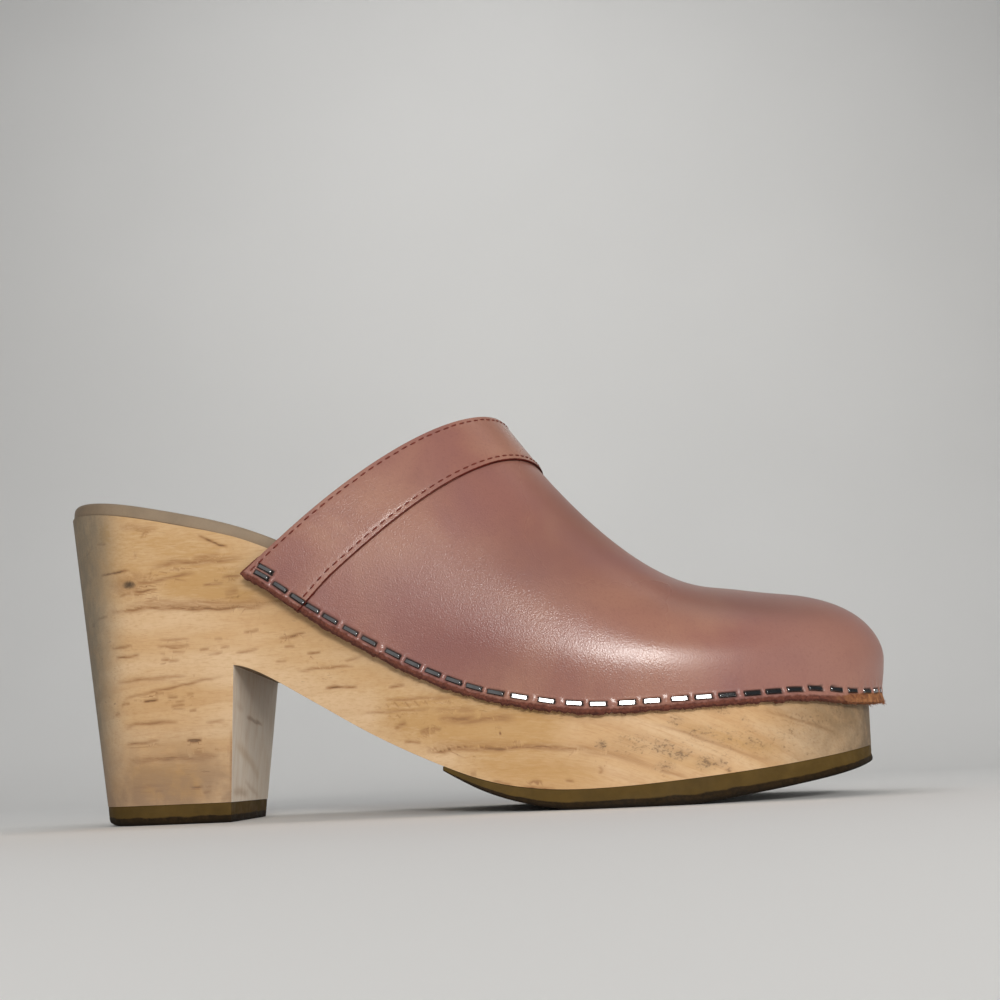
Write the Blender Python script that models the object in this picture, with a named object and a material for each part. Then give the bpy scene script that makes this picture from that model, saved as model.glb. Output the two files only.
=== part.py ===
"""A right-foot platform clog: a leather mule upper stapled to a one-piece wooden sole.

Sizes are in millimetres until a mesh is made, and the scene is in metres. +X points to the toe,
+Y to the inner (medial) side and +Z up. The shoe stands on Z = 0 with its box centred on the origin.
A station is the distance from the back of the heel, measured level, towards the toe.
"""

import bmesh
import bpy
import numpy as np

MM = 0.001

# Driving dimensions
WOOD_LENGTH = 226.9       # back of the heel to the front of the wood
HEEL_ROUND = 31.0         # length of the rounded back of the heel, seen from above
TOE_ROUND = 52.5          # length of the rounded toe, seen from above
HEEL_FULLNESS = 2.1       # exponent of the rounded back: 2 is an ellipse, more is squarer
TOE_FULLNESS = 2.35
FIT_GAP = 0.3             # gap between pieces that touch
LEATHER = 2.0             # wall of the upper
TOE_LEATHER = 3.0         # wall of the upper at the tip of the toe
TOE_OVERHANG = 3.6        # how far the upper's lower edge stands out in front of the wood
TOE_SWELL = 1.8           # how far the toe of the upper swells out over that edge
TOE_SWELL_REACH = 28.0    # length and height over which the swell comes in
TOE_SWELL_RISE = 10.0
BAND = 1.0                # thickness of the strip sewn round the collar
BAND_WIDTH = 18.5
BAND_WAIST = 1.7          # how much narrower the strip is half way up each side
INSOLE = 3.4              # thickness of the padded insole
INSOLE_SHRINK = 1.6       # how far the insole stays inside the wood under the upper
INSOLE_ROUND = 1.3        # rounding of the insole's upper edge
HEEL_LIFT = 4.7           # thickness of the rubber under the heel
HEEL_WEAR = 1.8           # how far the back edge of that rubber is worn up from the floor
HEEL_WEAR_REACH = 15.0
BREAST_TOP = 53.6         # station of the front face of the heel, at the arch and at the floor
BREAST_FOOT = 52.3
ARCH_FILLET = (0.7, 1.8, 3.4)  # steps in front of the heel that round the corner into the arch
TREAD_START = 108.0       # station where the forefoot rubber begins
HEEL_TAPER = 0.178        # how far the heel's sides lean in for each unit of height
FORE_TAPER = 0.02
TOE_TAPER = 0.08
TAPER_FADE = (62.0, 122.0)     # stations between which the heel's lean fades out
TOE_FADE = (205.0, 225.0)      # and the toe's lean comes in
HEEL_TURN = (24.0, 44.0)  # stations between which the lean turns from backwards to sideways
TOE_TURN = (165.0, 190.0)      # and from sideways to forwards
TOE_BOX_ROUND = 30.0      # length over which the toe of the upper rounds down, seen from the side
TOE_BOX_FULLNESS = 2.15
DOME_FULLNESS = 2.12      # exponent of the upper's sections
DOME_SHARE = 0.86         # share of each half section that is dome; the rest lies on the wood's side
COLLAR_CORNER = (57.3, 61.8)   # station and height of the collar's lower back corners
COLLAR_PEAK = (128.0, 109.6)   # station and height of the collar over the instep
COLLAR_BULGE = 5.8        # rise of the collar's side view above a straight cut

# The sole from above: centre line and half width, the toe leaning to the inner side
OUTLINE_COLUMNS = ("station", "centre", "half_width")
OUTLINE = (
    (0.0, 0.0, 30.6),
    (31.0, 0.0, 31.0),
    (50.0, -0.3, 32.2),
    (69.0, -1.2, 32.2),
    (89.0, -2.6, 31.7),
    (109.0, -3.6, 32.6),
    (129.0, -3.8, 35.2),
    (149.0, -3.0, 38.5),
    (164.0, -1.9, 40.3),
    (179.0, -0.7, 40.8),
    (205.0, 2.2, 40.6),
    (232.0, 6.2, 40.5),
)

# The wood from the side: top of the footbed, underside, and the forefoot rubber below it
WOOD_COLUMNS = ("station", "footbed", "underside", "tread")
WOOD = (
    (0.0, 84.5, 39.6, 0.8),
    (20.0, 80.8, 39.6, 0.8),
    (40.0, 76.3, 39.6, 0.8),
    (56.0, 71.9, 39.0, 0.8),
    (74.0, 63.6, 29.5, 0.8),
    (89.0, 54.2, 20.7, 0.8),
    (104.0, 44.8, 13.3, 0.8),
    (119.0, 37.4, 7.4, 2.8),
    (134.0, 33.2, 4.9, 4.3),
    (149.0, 31.5, 4.8, 5.0),
    (164.0, 31.1, 5.7, 5.9),
    (179.0, 31.2, 7.0, 5.6),
    (194.0, 31.9, 8.6, 5.2),
    (209.0, 33.0, 10.6, 4.9),
    (232.0, 35.0, 13.6, 3.7),
)

# The upper: how far it laps down the wood, its ridge above the footbed, and the ridge's inward lean
UPPER_COLUMNS = ("station", "lap", "ridge", "lean")
UPPER = (
    (40.0, 9.0, 122.0, 3.0),
    (57.3, 10.0, 119.0, 3.0),
    (74.0, 13.6, 115.0, 3.0),
    (89.0, 13.6, 109.5, 3.0),
    (104.0, 12.5, 99.5, 3.0),
    (119.0, 11.0, 84.4, 3.0),
    (127.0, 10.3, 75.4, 3.0),
    (138.0, 10.0, 61.9, 3.0),
    (146.0, 10.0, 52.6, 2.8),
    (154.5, 9.5, 43.7, 2.5),
    (165.7, 9.0, 34.1, 2.0),
    (177.0, 8.7, 28.1, 1.5),
    (188.5, 8.7, 25.9, 1.0),
    (200.0, 9.2, 23.6, 0.5),
    (212.0, 11.0, 22.5, 0.0),
    (222.0, 11.7, 22.1, 0.0),
    (234.0, 10.9, 21.8, 0.0),
)

# Colour, roughness and metallic value of each piece
FINISHES = {
    "wood_sole": ((0.66, 0.45, 0.22, 1.0), 0.6, 0.0),
    "forefoot_outsole": ((0.25, 0.18, 0.07, 1.0), 0.75, 0.0),
    "heel_lift": ((0.25, 0.18, 0.07, 1.0), 0.75, 0.0),
    "insole": ((0.40, 0.33, 0.26, 1.0), 0.6, 0.0),
    "upper": ((0.42, 0.19, 0.16, 1.0), 0.42, 0.0),
    "collar_band": ((0.44, 0.20, 0.17, 1.0), 0.42, 0.0),
}

# Steps of the meshes
HEEL_STEPS = 8
TOE_STEPS = 12
WAIST_STEPS = 20
WALL_STEPS = 3
UPPER_STEPS = 40
DOME_STEPS = 15
LAP_STEPS = 2
BAND_STEPS = 4

SEAT = LEATHER + FIT_GAP  # the upper's outer face from the wood's side
TOE_TIP = WOOD_LENGTH + TOE_OVERHANG
SHOE_LENGTH = TOE_TIP + TOE_SWELL


def read(columns, table, name, at):
    """A smooth curve through one named column of a table, read at a station or an array of stations."""
    rows = np.array(table)
    stations = rows[:, 0]
    values = rows[:, columns.index(name)]
    slopes = np.gradient(values, stations)
    at = np.clip(at, stations[0], stations[-1])
    i = np.clip(np.searchsorted(stations, at, side="right") - 1, 0, len(stations) - 2)
    span = stations[i + 1] - stations[i]
    t = (at - stations[i]) / span
    rise = t * t * (3 - 2 * t)
    bend = span * t * (1 - t) * (slopes[i] * (1 - t) - slopes[i + 1] * t)
    return values[i] * (1 - rise) + values[i + 1] * rise + bend


def smooth_step(value, low, high):
    t = np.clip((value - low) / (high - low), 0.0, 1.0)
    return t * t * (3 - 2 * t)


def footbed(station):
    return read(WOOD_COLUMNS, WOOD, "footbed", station)


def underside(station):
    return read(WOOD_COLUMNS, WOOD, "underside", station)


def tread_bottom(station):
    """The forefoot rubber's lower face, flat where it meets the floor."""
    return np.maximum(0.0, underside(station) - read(WOOD_COLUMNS, WOOD, "tread", station))


def cap(share, fullness):
    """Width left at a share of the way along a rounded end."""
    return (1 - np.clip(share, 0.0, 1.0) ** fullness) ** (1 / fullness)


def side_y(station, side, grow=0.0, overhang=0.0):
    """Plan outline at a station: side -1 is the outer and +1 the inner side, grown out by grow."""
    centre = read(OUTLINE_COLUMNS, OUTLINE, "centre", station)
    half = read(OUTLINE_COLUMNS, OUTLINE, "half_width", station) + grow
    heel = cap((HEEL_ROUND - station) / HEEL_ROUND, HEEL_FULLNESS)
    toe = cap((station - (WOOD_LENGTH - TOE_ROUND)) / (TOE_ROUND + overhang), TOE_FULLNESS)
    return centre + side * half * heel * toe


def upper_y(station, side):
    return side_y(station, side, SEAT, TOE_OVERHANG)


FLANK = np.linspace(120.0, 210.0, 361)
MIDDLE_Y = (upper_y(FLANK, -1).min() + upper_y(FLANK, 1).max()) / 2


def place(station, y, z):
    """A point of the shoe in metres, with the whole shoe's box centred on the origin."""
    return ((station - SHOE_LENGTH / 2) * MM, (y - MIDDLE_Y) * MM, z * MM)


def outline_normals(stations, side):
    """Outward directions in plan along one side of the wood, straight back or forward at its ends."""
    step = 0.01
    rise = side_y(stations + step, side) - side_y(stations - step, side)
    out = np.stack([-rise * side, np.full_like(stations, 2 * step * side)], axis=1)
    out[stations < step] = (-1.0, 0.0)
    out[stations > WOOD_LENGTH - step] = (1.0, 0.0)
    return out / np.linalg.norm(out, axis=1, keepdims=True)


def round_end(length, steps):
    """Distances from a rounded end, close together near its tip."""
    return length * (1 - np.cos(np.linspace(0, np.pi / 2, steps + 1)))


def to_the_toe(first, steps):
    """Even stations that close up over the rounded toe."""
    toe = WOOD_LENGTH - round_end(TOE_ROUND, TOE_STEPS)[::-1]
    return np.concatenate([np.linspace(first, toe[0], steps + 1)[:-1], toe])


def heel_stations():
    heel = round_end(HEEL_ROUND, HEEL_STEPS)
    return np.concatenate([heel, np.linspace(HEEL_ROUND, BREAST_TOP, 5)[1:]])


def taper(station):
    fore = smooth_step(station, *TAPER_FADE)
    toe = smooth_step(station, *TOE_FADE)
    return HEEL_TAPER * (1 - fore) + FORE_TAPER * (fore - toe) + TOE_TAPER * toe


def wall_layer(stations, heights):
    """Points on the sole's leaning walls at the given heights: the outer side, then the inner."""
    lean = taper(stations) * (footbed(stations) - heights)
    ends = 1 - smooth_step(stations, *HEEL_TURN) + smooth_step(stations, *TOE_TURN)
    sides = []
    for side in (-1, 1):
        out = outline_normals(stations, side)
        x = stations - out[:, 0] * lean * ends
        y = side_y(stations, side) - out[:, 1] * lean
        sides.append([place(*point) for point in zip(x, y, heights)])
    return sides


def heel_layer(height, wear=0.0):
    """One level of the heel below the arch, its front face leaning back towards the floor."""
    stations = heel_stations()
    drop = (underside(BREAST_TOP) - height) / underside(BREAST_TOP)
    shift = (BREAST_FOOT - BREAST_TOP) * drop * (stations / BREAST_TOP) ** 3 * MM
    worn = wear * np.clip(1 - stations / HEEL_WEAR_REACH, 0, 1) ** 2
    sides = wall_layer(stations, height + worn)
    return [[(x + move, y, z) for (x, y, z), move in zip(points, shift)] for points in sides]


def add_grid(bm, rows):
    """Joins rows of points, all of one length, with quads."""
    grid = [[bm.verts.new(point) for point in row] for row in rows]
    for row, following in zip(grid, grid[1:]):
        for i in range(len(row) - 1):
            bm.faces.new((row[i], row[i + 1], following[i + 1], following[i]))


def add_walls(bm, layers):
    for side in (0, 1):
        add_grid(bm, [layer[side] for layer in layers])


def add_end(bm, layers, end):
    """A flat face across the piece at one end of its layers."""
    add_grid(bm, [(layer[0][end], layer[1][end]) for layer in layers])


def weld(bm):
    """Joins the grids into one surface with its faces pointing out."""
    bmesh.ops.remove_doubles(bm, verts=bm.verts, dist=0.01 * MM)
    bmesh.ops.dissolve_degenerate(bm, dist=0.001 * MM, edges=bm.edges)
    bmesh.ops.recalc_face_normals(bm, faces=bm.faces)


def thicken(bm, depth_at):
    """Gives an open surface a wall: a second face inside it at depth_at(vertex), and a rim."""
    bm.normal_update()
    rim = [(edge.link_loops[0].vert, edge.link_loops[0].link_loop_next.vert)
           for edge in bm.edges if edge.is_boundary]
    outer = list(bm.verts)
    faces = [list(face.verts) for face in bm.faces]
    inner = {vert: bm.verts.new(vert.co - vert.normal * depth_at(vert.co) * MM) for vert in outer}
    for corners in faces:
        bm.faces.new([inner[vert] for vert in reversed(corners)])
    for first, second in rim:
        bm.faces.new((second, first, inner[first], inner[second]))


def add_piece(name, bm):
    """Turns a bmesh into a named object with its own material."""
    mesh = bpy.data.meshes.new(name)
    bm.to_mesh(mesh)
    bm.free()
    mesh.shade_smooth()
    mesh.set_sharp_from_angle(angle=np.radians(35))
    colour, roughness, metallic = FINISHES[name]
    material = bpy.data.materials.new(name)
    material.use_nodes = True
    shader = material.node_tree.nodes["Principled BSDF"]
    shader.inputs["Base Color"].default_value = colour
    shader.inputs["Roughness"].default_value = roughness
    shader.inputs["Metallic"].default_value = metallic
    mesh.materials.append(material)
    bpy.context.scene.collection.objects.link(bpy.data.objects.new(name, mesh))


def make_wood_sole():
    """One block: a full-length plank with an arched underside, and the heel below its back."""
    heel = heel_stations()
    fore = np.concatenate([BREAST_TOP + np.array(ARCH_FILLET), to_the_toe(60.0, WAIST_STEPS)])
    plank = np.concatenate([heel, fore])
    arch_top = underside(BREAST_TOP)
    plank_floor = np.concatenate([np.full_like(heel, arch_top), underside(fore)])
    levels = np.linspace(0, 1, WALL_STEPS + 1)
    plank_layers = [wall_layer(plank, footbed(plank) * (1 - t) + plank_floor * t) for t in levels]
    heel_layers = [heel_layer(arch_top * (1 - t) + (HEEL_LIFT + FIT_GAP) * t) for t in levels]
    bm = bmesh.new()
    add_walls(bm, plank_layers)
    add_walls(bm, heel_layers)
    add_grid(bm, plank_layers[0])
    add_grid(bm, [side[len(heel) - 1:] for side in plank_layers[-1]])
    add_grid(bm, heel_layers[-1])
    add_end(bm, heel_layers, -1)
    weld(bm)
    add_piece("wood_sole", bm)


def make_heel_lift():
    """The rubber under the heel, carrying on the heel's lean down to the floor."""
    layers = [heel_layer(HEEL_LIFT), heel_layer(0.0, HEEL_WEAR)]
    bm = bmesh.new()
    add_walls(bm, layers)
    add_grid(bm, layers[0])
    add_grid(bm, layers[-1])
    add_end(bm, layers, -1)
    weld(bm)
    add_piece("heel_lift", bm)


def make_forefoot_outsole():
    """The rubber under the forefoot, thin at the arch and turned up with the toe."""
    stations = to_the_toe(TREAD_START, WAIST_STEPS)
    layers = [
        wall_layer(stations, underside(stations) - FIT_GAP),
        wall_layer(stations, tread_bottom(stations)),
    ]
    bm = bmesh.new()
    add_walls(bm, layers)
    add_grid(bm, layers[0])
    add_grid(bm, layers[-1])
    add_end(bm, layers, 0)
    weld(bm)
    add_piece("forefoot_outsole", bm)


def insole_layer(stations, inset, height):
    """One level of the insole, flush with the wood at the heel and inside the upper from the waist on."""
    shrink = inset + FIT_GAP + (INSOLE_SHRINK - FIT_GAP) * smooth_step(stations, 42.0, 58.0)
    sides = []
    for side in (-1, 1):
        out = outline_normals(stations, side)
        x = stations - out[:, 0] * shrink
        y = side_y(stations, side) - out[:, 1] * shrink
        z = footbed(stations) + FIT_GAP + height
        sides.append([place(*point) for point in zip(x, y, z)])
    return sides


def make_insole():
    """A padded sock on the footbed with a rounded upper edge."""
    heel = round_end(HEEL_ROUND, HEEL_STEPS)
    stations = np.concatenate([heel, to_the_toe(HEEL_ROUND, WAIST_STEPS)[1:]])
    layers = [insole_layer(stations, 0.0, 0.0)]
    for turn in np.linspace(0, np.pi / 2, 4):
        inset = INSOLE_ROUND * (1 - np.cos(turn))
        height = INSOLE - INSOLE_ROUND * (1 - np.sin(turn))
        layers.append(insole_layer(stations, inset, height))
    bm = bmesh.new()
    add_walls(bm, layers)
    add_grid(bm, layers[0])
    add_grid(bm, layers[-1])
    weld(bm)
    add_piece("insole", bm)


def upper_section(station, turn):
    """The upper's outer face: turn runs from -1, the outer lower edge, over the ridge to +1."""
    low, high = upper_y(station, -1), upper_y(station, 1)
    middle, half = (low + high) / 2, (high - low) / 2
    side, reach = np.sign(turn), abs(turn)
    if reach > DOME_SHARE:
        lap = read(UPPER_COLUMNS, UPPER, "lap", station)
        return middle + side * half, footbed(station) - lap * (reach - DOME_SHARE) / (1 - DOME_SHARE)
    angle = np.pi / 2 * (1 - reach / DOME_SHARE)
    across = np.cos(angle) ** (2 / DOME_FULLNESS)
    up = np.sin(angle) ** (2 / DOME_FULLNESS)
    toe = cap((station - TOE_TIP + TOE_BOX_ROUND) / TOE_BOX_ROUND, TOE_BOX_FULLNESS)
    ridge = read(UPPER_COLUMNS, UPPER, "ridge", station) * toe
    lean = read(UPPER_COLUMNS, UPPER, "lean", station)
    return middle + side * half * across + lean * up * up, footbed(station) + ridge * up


def collar_height(station):
    """Side view of the collar: a slanting cut that bows up a little."""
    (start, low), (end, high) = COLLAR_CORNER, COLLAR_PEAK
    share = (station - start) / (end - start)
    inside = np.clip(share, 0, 1)
    return low + (high - low) * share + 4 * COLLAR_BULGE * inside * (1 - inside)


def collar_station(turn):
    """Where the line along the upper at this turn meets the collar."""
    rear, front = UPPER[0][0], WOOD_LENGTH - TOE_ROUND
    while front - rear > 0.001:
        middle = (rear + front) / 2
        if upper_section(middle, turn)[1] > collar_height(middle):
            rear = middle
        else:
            front = middle
    return (rear + front) / 2


def upper_turns():
    """Turns across the upper, even over the dome and down the lap on each side."""
    dome = np.linspace(0, DOME_SHARE, DOME_STEPS + 1)
    lap = np.linspace(DOME_SHARE, 1.0, LAP_STEPS + 1)
    half = np.concatenate([dome, lap[1:]])
    return np.concatenate([-half[:0:-1], half])


def toe_spacing(share):
    """Shares of the way back from the toe, close together where the toe is round."""
    bend = 5.0
    return (np.sqrt(1 + (bend * share) ** 2) - 1) / (np.sqrt(1 + bend * bend) - 1)


def toe_swell(station, height):
    """How far a point of the upper is moved forward, so that the toe bulges over its lower edge."""
    edge = footbed(station) - read(UPPER_COLUMNS, UPPER, "lap", station)
    along = smooth_step(station, TOE_TIP - TOE_SWELL_REACH, TOE_TIP)
    return TOE_SWELL * along * smooth_step(height, edge, edge + TOE_SWELL_RISE)


def upper_point(station, turn):
    y, z = upper_section(station, turn)
    return place(station + toe_swell(station, z), y, z)


def leather_at(point):
    """Wall of the upper at a point, thicker at the tip of the toe."""
    station = point.x / MM + SHOE_LENGTH / 2
    return LEATHER + (TOE_LEATHER - LEATHER) * smooth_step(station, WOOD_LENGTH - TOE_BOX_ROUND, WOOD_LENGTH)


def make_upper():
    """The mule upper: one leather shell, open at the collar and underneath."""
    turns = upper_turns()
    collar = [collar_station(turn) for turn in turns]
    rows = []
    for share in toe_spacing(np.linspace(0, 1, UPPER_STEPS + 1)):
        stations = [TOE_TIP + (back - TOE_TIP) * share for back in collar]
        rows.append([upper_point(station, turn) for station, turn in zip(stations, turns)])
    bm = bmesh.new()
    add_grid(bm, rows)
    weld(bm)
    thicken(bm, leather_at)
    add_piece("upper", bm)


def walk_from_collar(turn, distances):
    """Points on the upper's outer face at distances forward from the collar along one turn."""
    stations = collar_station(turn) + np.linspace(0, 2 * BAND_WIDTH, 149)
    path = np.array([(station, *upper_section(station, turn)) for station in stations])
    walked = np.concatenate([[0], np.cumsum(np.linalg.norm(np.diff(path, axis=0), axis=1))])
    return [[np.interp(distance, walked, path[:, k]) for k in range(3)] for distance in distances]


def make_collar_band():
    """The strip sewn on round the collar, on top of the upper."""
    columns = []
    for turn in upper_turns():
        width = BAND_WIDTH - BAND_WAIST * np.sin(np.pi * turn) ** 2
        columns.append([place(*point) for point in walk_from_collar(turn, np.linspace(0, width, BAND_STEPS + 1))])
    bm = bmesh.new()
    add_grid(bm, columns)
    weld(bm)
    bm.normal_update()
    if sum(face.normal.z for face in bm.faces) < 0:
        bmesh.ops.reverse_faces(bm, faces=bm.faces)
        bm.normal_update()
    lift = {vert: vert.normal * (FIT_GAP + BAND) * MM for vert in bm.verts}
    for vert, move in lift.items():
        vert.co += move
    thicken(bm, lambda point: BAND)
    add_piece("collar_band", bm)


def main():
    for old in list(bpy.data.objects):
        bpy.data.objects.remove(old)
    make_wood_sole()
    make_heel_lift()
    make_forefoot_outsole()
    make_insole()
    make_upper()
    make_collar_band()


main()
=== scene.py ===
import math

import bmesh
import bpy
import numpy as np
from mathutils import Matrix, Vector
from mathutils.bvhtree import BVHTree
from mathutils.kdtree import KDTree


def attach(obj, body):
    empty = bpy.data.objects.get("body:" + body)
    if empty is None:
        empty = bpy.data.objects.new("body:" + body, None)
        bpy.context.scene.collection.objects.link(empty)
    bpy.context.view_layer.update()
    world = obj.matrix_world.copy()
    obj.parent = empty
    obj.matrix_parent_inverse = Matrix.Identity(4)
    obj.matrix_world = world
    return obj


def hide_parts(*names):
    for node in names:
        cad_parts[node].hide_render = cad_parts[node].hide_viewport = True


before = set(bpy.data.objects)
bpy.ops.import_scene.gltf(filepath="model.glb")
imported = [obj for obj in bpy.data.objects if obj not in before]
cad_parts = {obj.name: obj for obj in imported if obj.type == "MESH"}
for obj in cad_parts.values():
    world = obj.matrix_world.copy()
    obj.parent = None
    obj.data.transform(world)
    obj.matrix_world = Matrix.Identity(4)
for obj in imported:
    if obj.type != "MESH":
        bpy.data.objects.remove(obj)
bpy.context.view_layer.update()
mm = 0.001
print("frame loaded:", sorted(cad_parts))


# small helpers for objects

def pickUp(obj):  # the only selected and active object
    bpy.ops.object.select_all(action="DESELECT")
    obj.select_set(True)
    bpy.context.view_layer.objects.active = obj


def editAll(obj):
    pickUp(obj)
    bpy.ops.object.mode_set(mode="EDIT")
    bpy.ops.mesh.select_all(action="SELECT")


def leaveEdit():
    bpy.ops.object.mode_set(mode="OBJECT")


def editPart(obj, kind, chosen):  # with only these vertices, edges or polygons selected
    pickUp(obj)
    kinds = ("vertices", "edges", "polygons")
    for each in kinds:
        items = getattr(obj.data, each)
        items.foreach_set("select", np.array(chosen, bool) if each == kind else np.zeros(len(items), bool))
    bpy.context.tool_settings.mesh_select_mode = [each == kind for each in kinds]
    bpy.ops.object.mode_set(mode="EDIT")


def applyModifier(obj, kind, **settings):
    mod = obj.modifiers.new(kind.title(), kind)
    for key, value in settings.items():
        setattr(mod, key, value)
    pickUp(obj)
    bpy.ops.object.modifier_apply(modifier=mod.name)


def roundOff(obj, piece):  # soften sharp edges, then smooth the facets
    applyModifier(obj, "BEVEL", width=piece["edgeRound"], segments=piece["segments"], limit_method="ANGLE",
                  angle_limit=math.radians(piece["sharp"]))
    applyModifier(obj, "SUBSURF", levels=piece["smoothing"], render_levels=piece["smoothing"])
    pickUp(obj)
    bpy.ops.object.shade_smooth()


def copyOfNode(node, name):  # a merged copy in quads, in place
    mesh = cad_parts[node].data.copy()
    mesh.materials.clear()
    obj = bpy.data.objects.new(name, mesh)
    bpy.context.scene.collection.objects.link(obj)
    editAll(obj)
    bpy.ops.mesh.remove_doubles(threshold=0.002 * mm)
    bpy.ops.mesh.customdata_custom_splitnormals_clear()
    bpy.ops.mesh.tris_convert_to_quads(face_threshold=math.radians(40), shape_threshold=math.radians(180),
                                       topology_influence=1.6)
    bpy.ops.mesh.mark_sharp(clear=True)
    leaveEdit()
    return obj


def finishPiece(obj, slot, *nodes):
    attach(obj, "root")
    if nodes:
        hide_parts(*nodes)
    print(obj.name, "done,", sum(len(p.vertices) - 2 for p in obj.data.polygons), "triangles")


def joinCopies(pattern, places, name):  # one mesh from many copies of a small pattern
    base = np.array([v.co for v in pattern.data.vertices])
    corners = [tuple(p.vertices) for p in pattern.data.polygons]
    points, faces = [], []
    for i, place in enumerate(places):
        turn = np.array(place)
        points.append(base @ turn[:3, :3].T + turn[:3, 3])
        faces += [tuple(c + i * len(base) for c in face) for face in corners]
    mesh = bpy.data.meshes.new(name)
    mesh.from_pydata(np.concatenate(points).tolist(), [], faces)
    obj = bpy.data.objects.new(name, mesh)
    bpy.context.scene.collection.objects.link(obj)
    bpy.data.objects.remove(pattern)
    pickUp(obj)
    bpy.ops.object.shade_smooth()
    return obj


def vertexPoints(obj):
    points = np.zeros(len(obj.data.vertices) * 3)
    obj.data.vertices.foreach_get("co", points)
    return points.reshape(-1, 3)


def vertexNormals(obj):
    normals = np.zeros(len(obj.data.vertices) * 3)
    obj.data.vertex_normals.foreach_get("vector", normals)
    return normals.reshape(-1, 3)


def setPoints(obj, points):
    obj.data.vertices.foreach_set("co", points.ravel())
    obj.data.update()


def paintValue(obj, name, values):  # a number or a vector for each vertex, read by the materials
    kind, field = ("FLOAT", "value") if values.ndim == 1 else ("FLOAT_VECTOR", "vector")
    layer = obj.data.attributes.new(name, kind, "POINT")
    layer.data.foreach_set(field, values.astype(np.float32).ravel())


def vertsOf(obj, slots):  # mask of the vertices of faces in these material slots
    mask = np.zeros(len(obj.data.vertices), bool)
    for face in obj.data.polygons:
        if face.material_index in slots:
            mask[list(face.vertices)] = True
    return mask


def smoothStep(value, low, high):
    t = np.clip((value - low) / (high - low), 0, 1)
    return t * t * (3 - 2 * t)


# helpers for the leather's edges

wallAngle = math.radians(50)  # sharper edges part the outer wall, the inner wall and the cut edges


def wallFaces(obj):  # outer wall 0, inner wall 1 and cut edges 2
    bm = bmesh.new()
    bm.from_mesh(obj.data)
    regions, seen = [], set()
    for first in bm.faces:
        if first in seen:
            continue
        seen.add(first)
        region, todo = [], [first]
        while todo:
            face = todo.pop()
            region.append(face)
            for edge in face.edges:
                if edge.calc_face_angle(0) < wallAngle:
                    for other in edge.link_faces:
                        if other not in seen:
                            seen.add(other)
                            todo.append(other)
        regions.append(region)
    regions.sort(key=lambda region: -sum(face.calc_area() for face in region))
    for i, region in enumerate(regions):
        for face in region:
            obj.data.polygons[face.index].material_index = min(i, 2)
    bm.free()


def outerRim(obj):  # points round the outside of a thin wall's cut edge, and where its corners are
    bm = bmesh.new()
    bm.from_mesh(obj.data)
    sharp = [edge for edge in bm.edges if edge.calc_face_angle(0) > wallAngle]
    count = {}
    for edge in sharp:
        for vert in edge.verts:
            count[vert] = count.get(vert, 0) + 1
    joined = {}
    for edge in sharp:
        a, b = edge.verts
        if count[a] < 3 or count[b] < 3:  # leaves out the short edges across the wall
            joined.setdefault(a, []).append(b)
            joined.setdefault(b, []).append(a)
    loops, left = [], dict.fromkeys(joined)
    while left:
        loop = [next(iter(left))]
        del left[loop[0]]
        while True:
            onward = [vert for vert in joined[loop[-1]] if vert in left]
            if not onward:
                break
            loop.append(onward[0])
            del left[onward[0]]
        loops.append(loop)
    lengths = [sum((a.co - b.co).length for a, b in zip(loop, loop[1:] + loop[:1])) for loop in loops]
    rim = loops[int(np.argmax(lengths))]
    points = np.array([vert.co for vert in rim])
    corners = [i for i, vert in enumerate(rim) if count[vert] == 3]
    bm.free()
    return points, corners


def rimStretch(points, start, end):  # the stretch of a closed rim from one corner to the next
    n = len(points)
    return points[[(start + i) % n for i in range((end - start) % n + 1)]]


def runAlong(points):  # distance along a line at each of its points
    return np.concatenate([[0], np.cumsum(np.linalg.norm(np.diff(points, axis=0), axis=1))])


def evenly(points, step):  # a line with even steps, and the run along it
    run = runAlong(points)
    at = np.linspace(0, run[-1], int(run[-1] / step) + 1)
    return np.stack([np.interp(at, run, points[:, k]) for k in range(3)], axis=1), at


def nearestOn(line, points):  # index of the nearest point of a line and the distance to it
    tree = KDTree(len(line))
    for i, point in enumerate(line):
        tree.insert(point, i)
    tree.balance()
    found = [tree.find(point) for point in points]
    return np.array([f[1] for f in found]), np.array([f[2] for f in found])


def surfaceOf(*objs):
    points, faces = [], []
    for obj in objs:
        faces += [tuple(v + len(points) for v in p.vertices) for p in obj.data.polygons]
        points += [v.co.copy() for v in obj.data.vertices]
    return BVHTree.FromPolygons(points, faces)


def layOn(surface, point, outward, reach=6 * mm):  # where a line from outside meets the leather
    outward = Vector(outward).normalized()
    spot = surface.ray_cast(Vector(point) + outward * reach, -outward, 3 * reach)[0]
    if spot is None:
        spot = surface.find_nearest(Vector(point))[0]
    return spot


def nearestPoint(line, point):
    return line[np.linalg.norm(line - point, axis=1).argmin()]


def placeAt(spot, along, normal):  # x runs along, z stands off the surface
    z = Vector(normal).normalized()
    x = Vector(along) - z * z.dot(Vector(along))
    x.normalize()
    y = z.cross(x)
    return Matrix(((*x, 0), (*y, 0), (*z, 0), (*spot, 1))).transposed()


# nodes of one material

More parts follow.
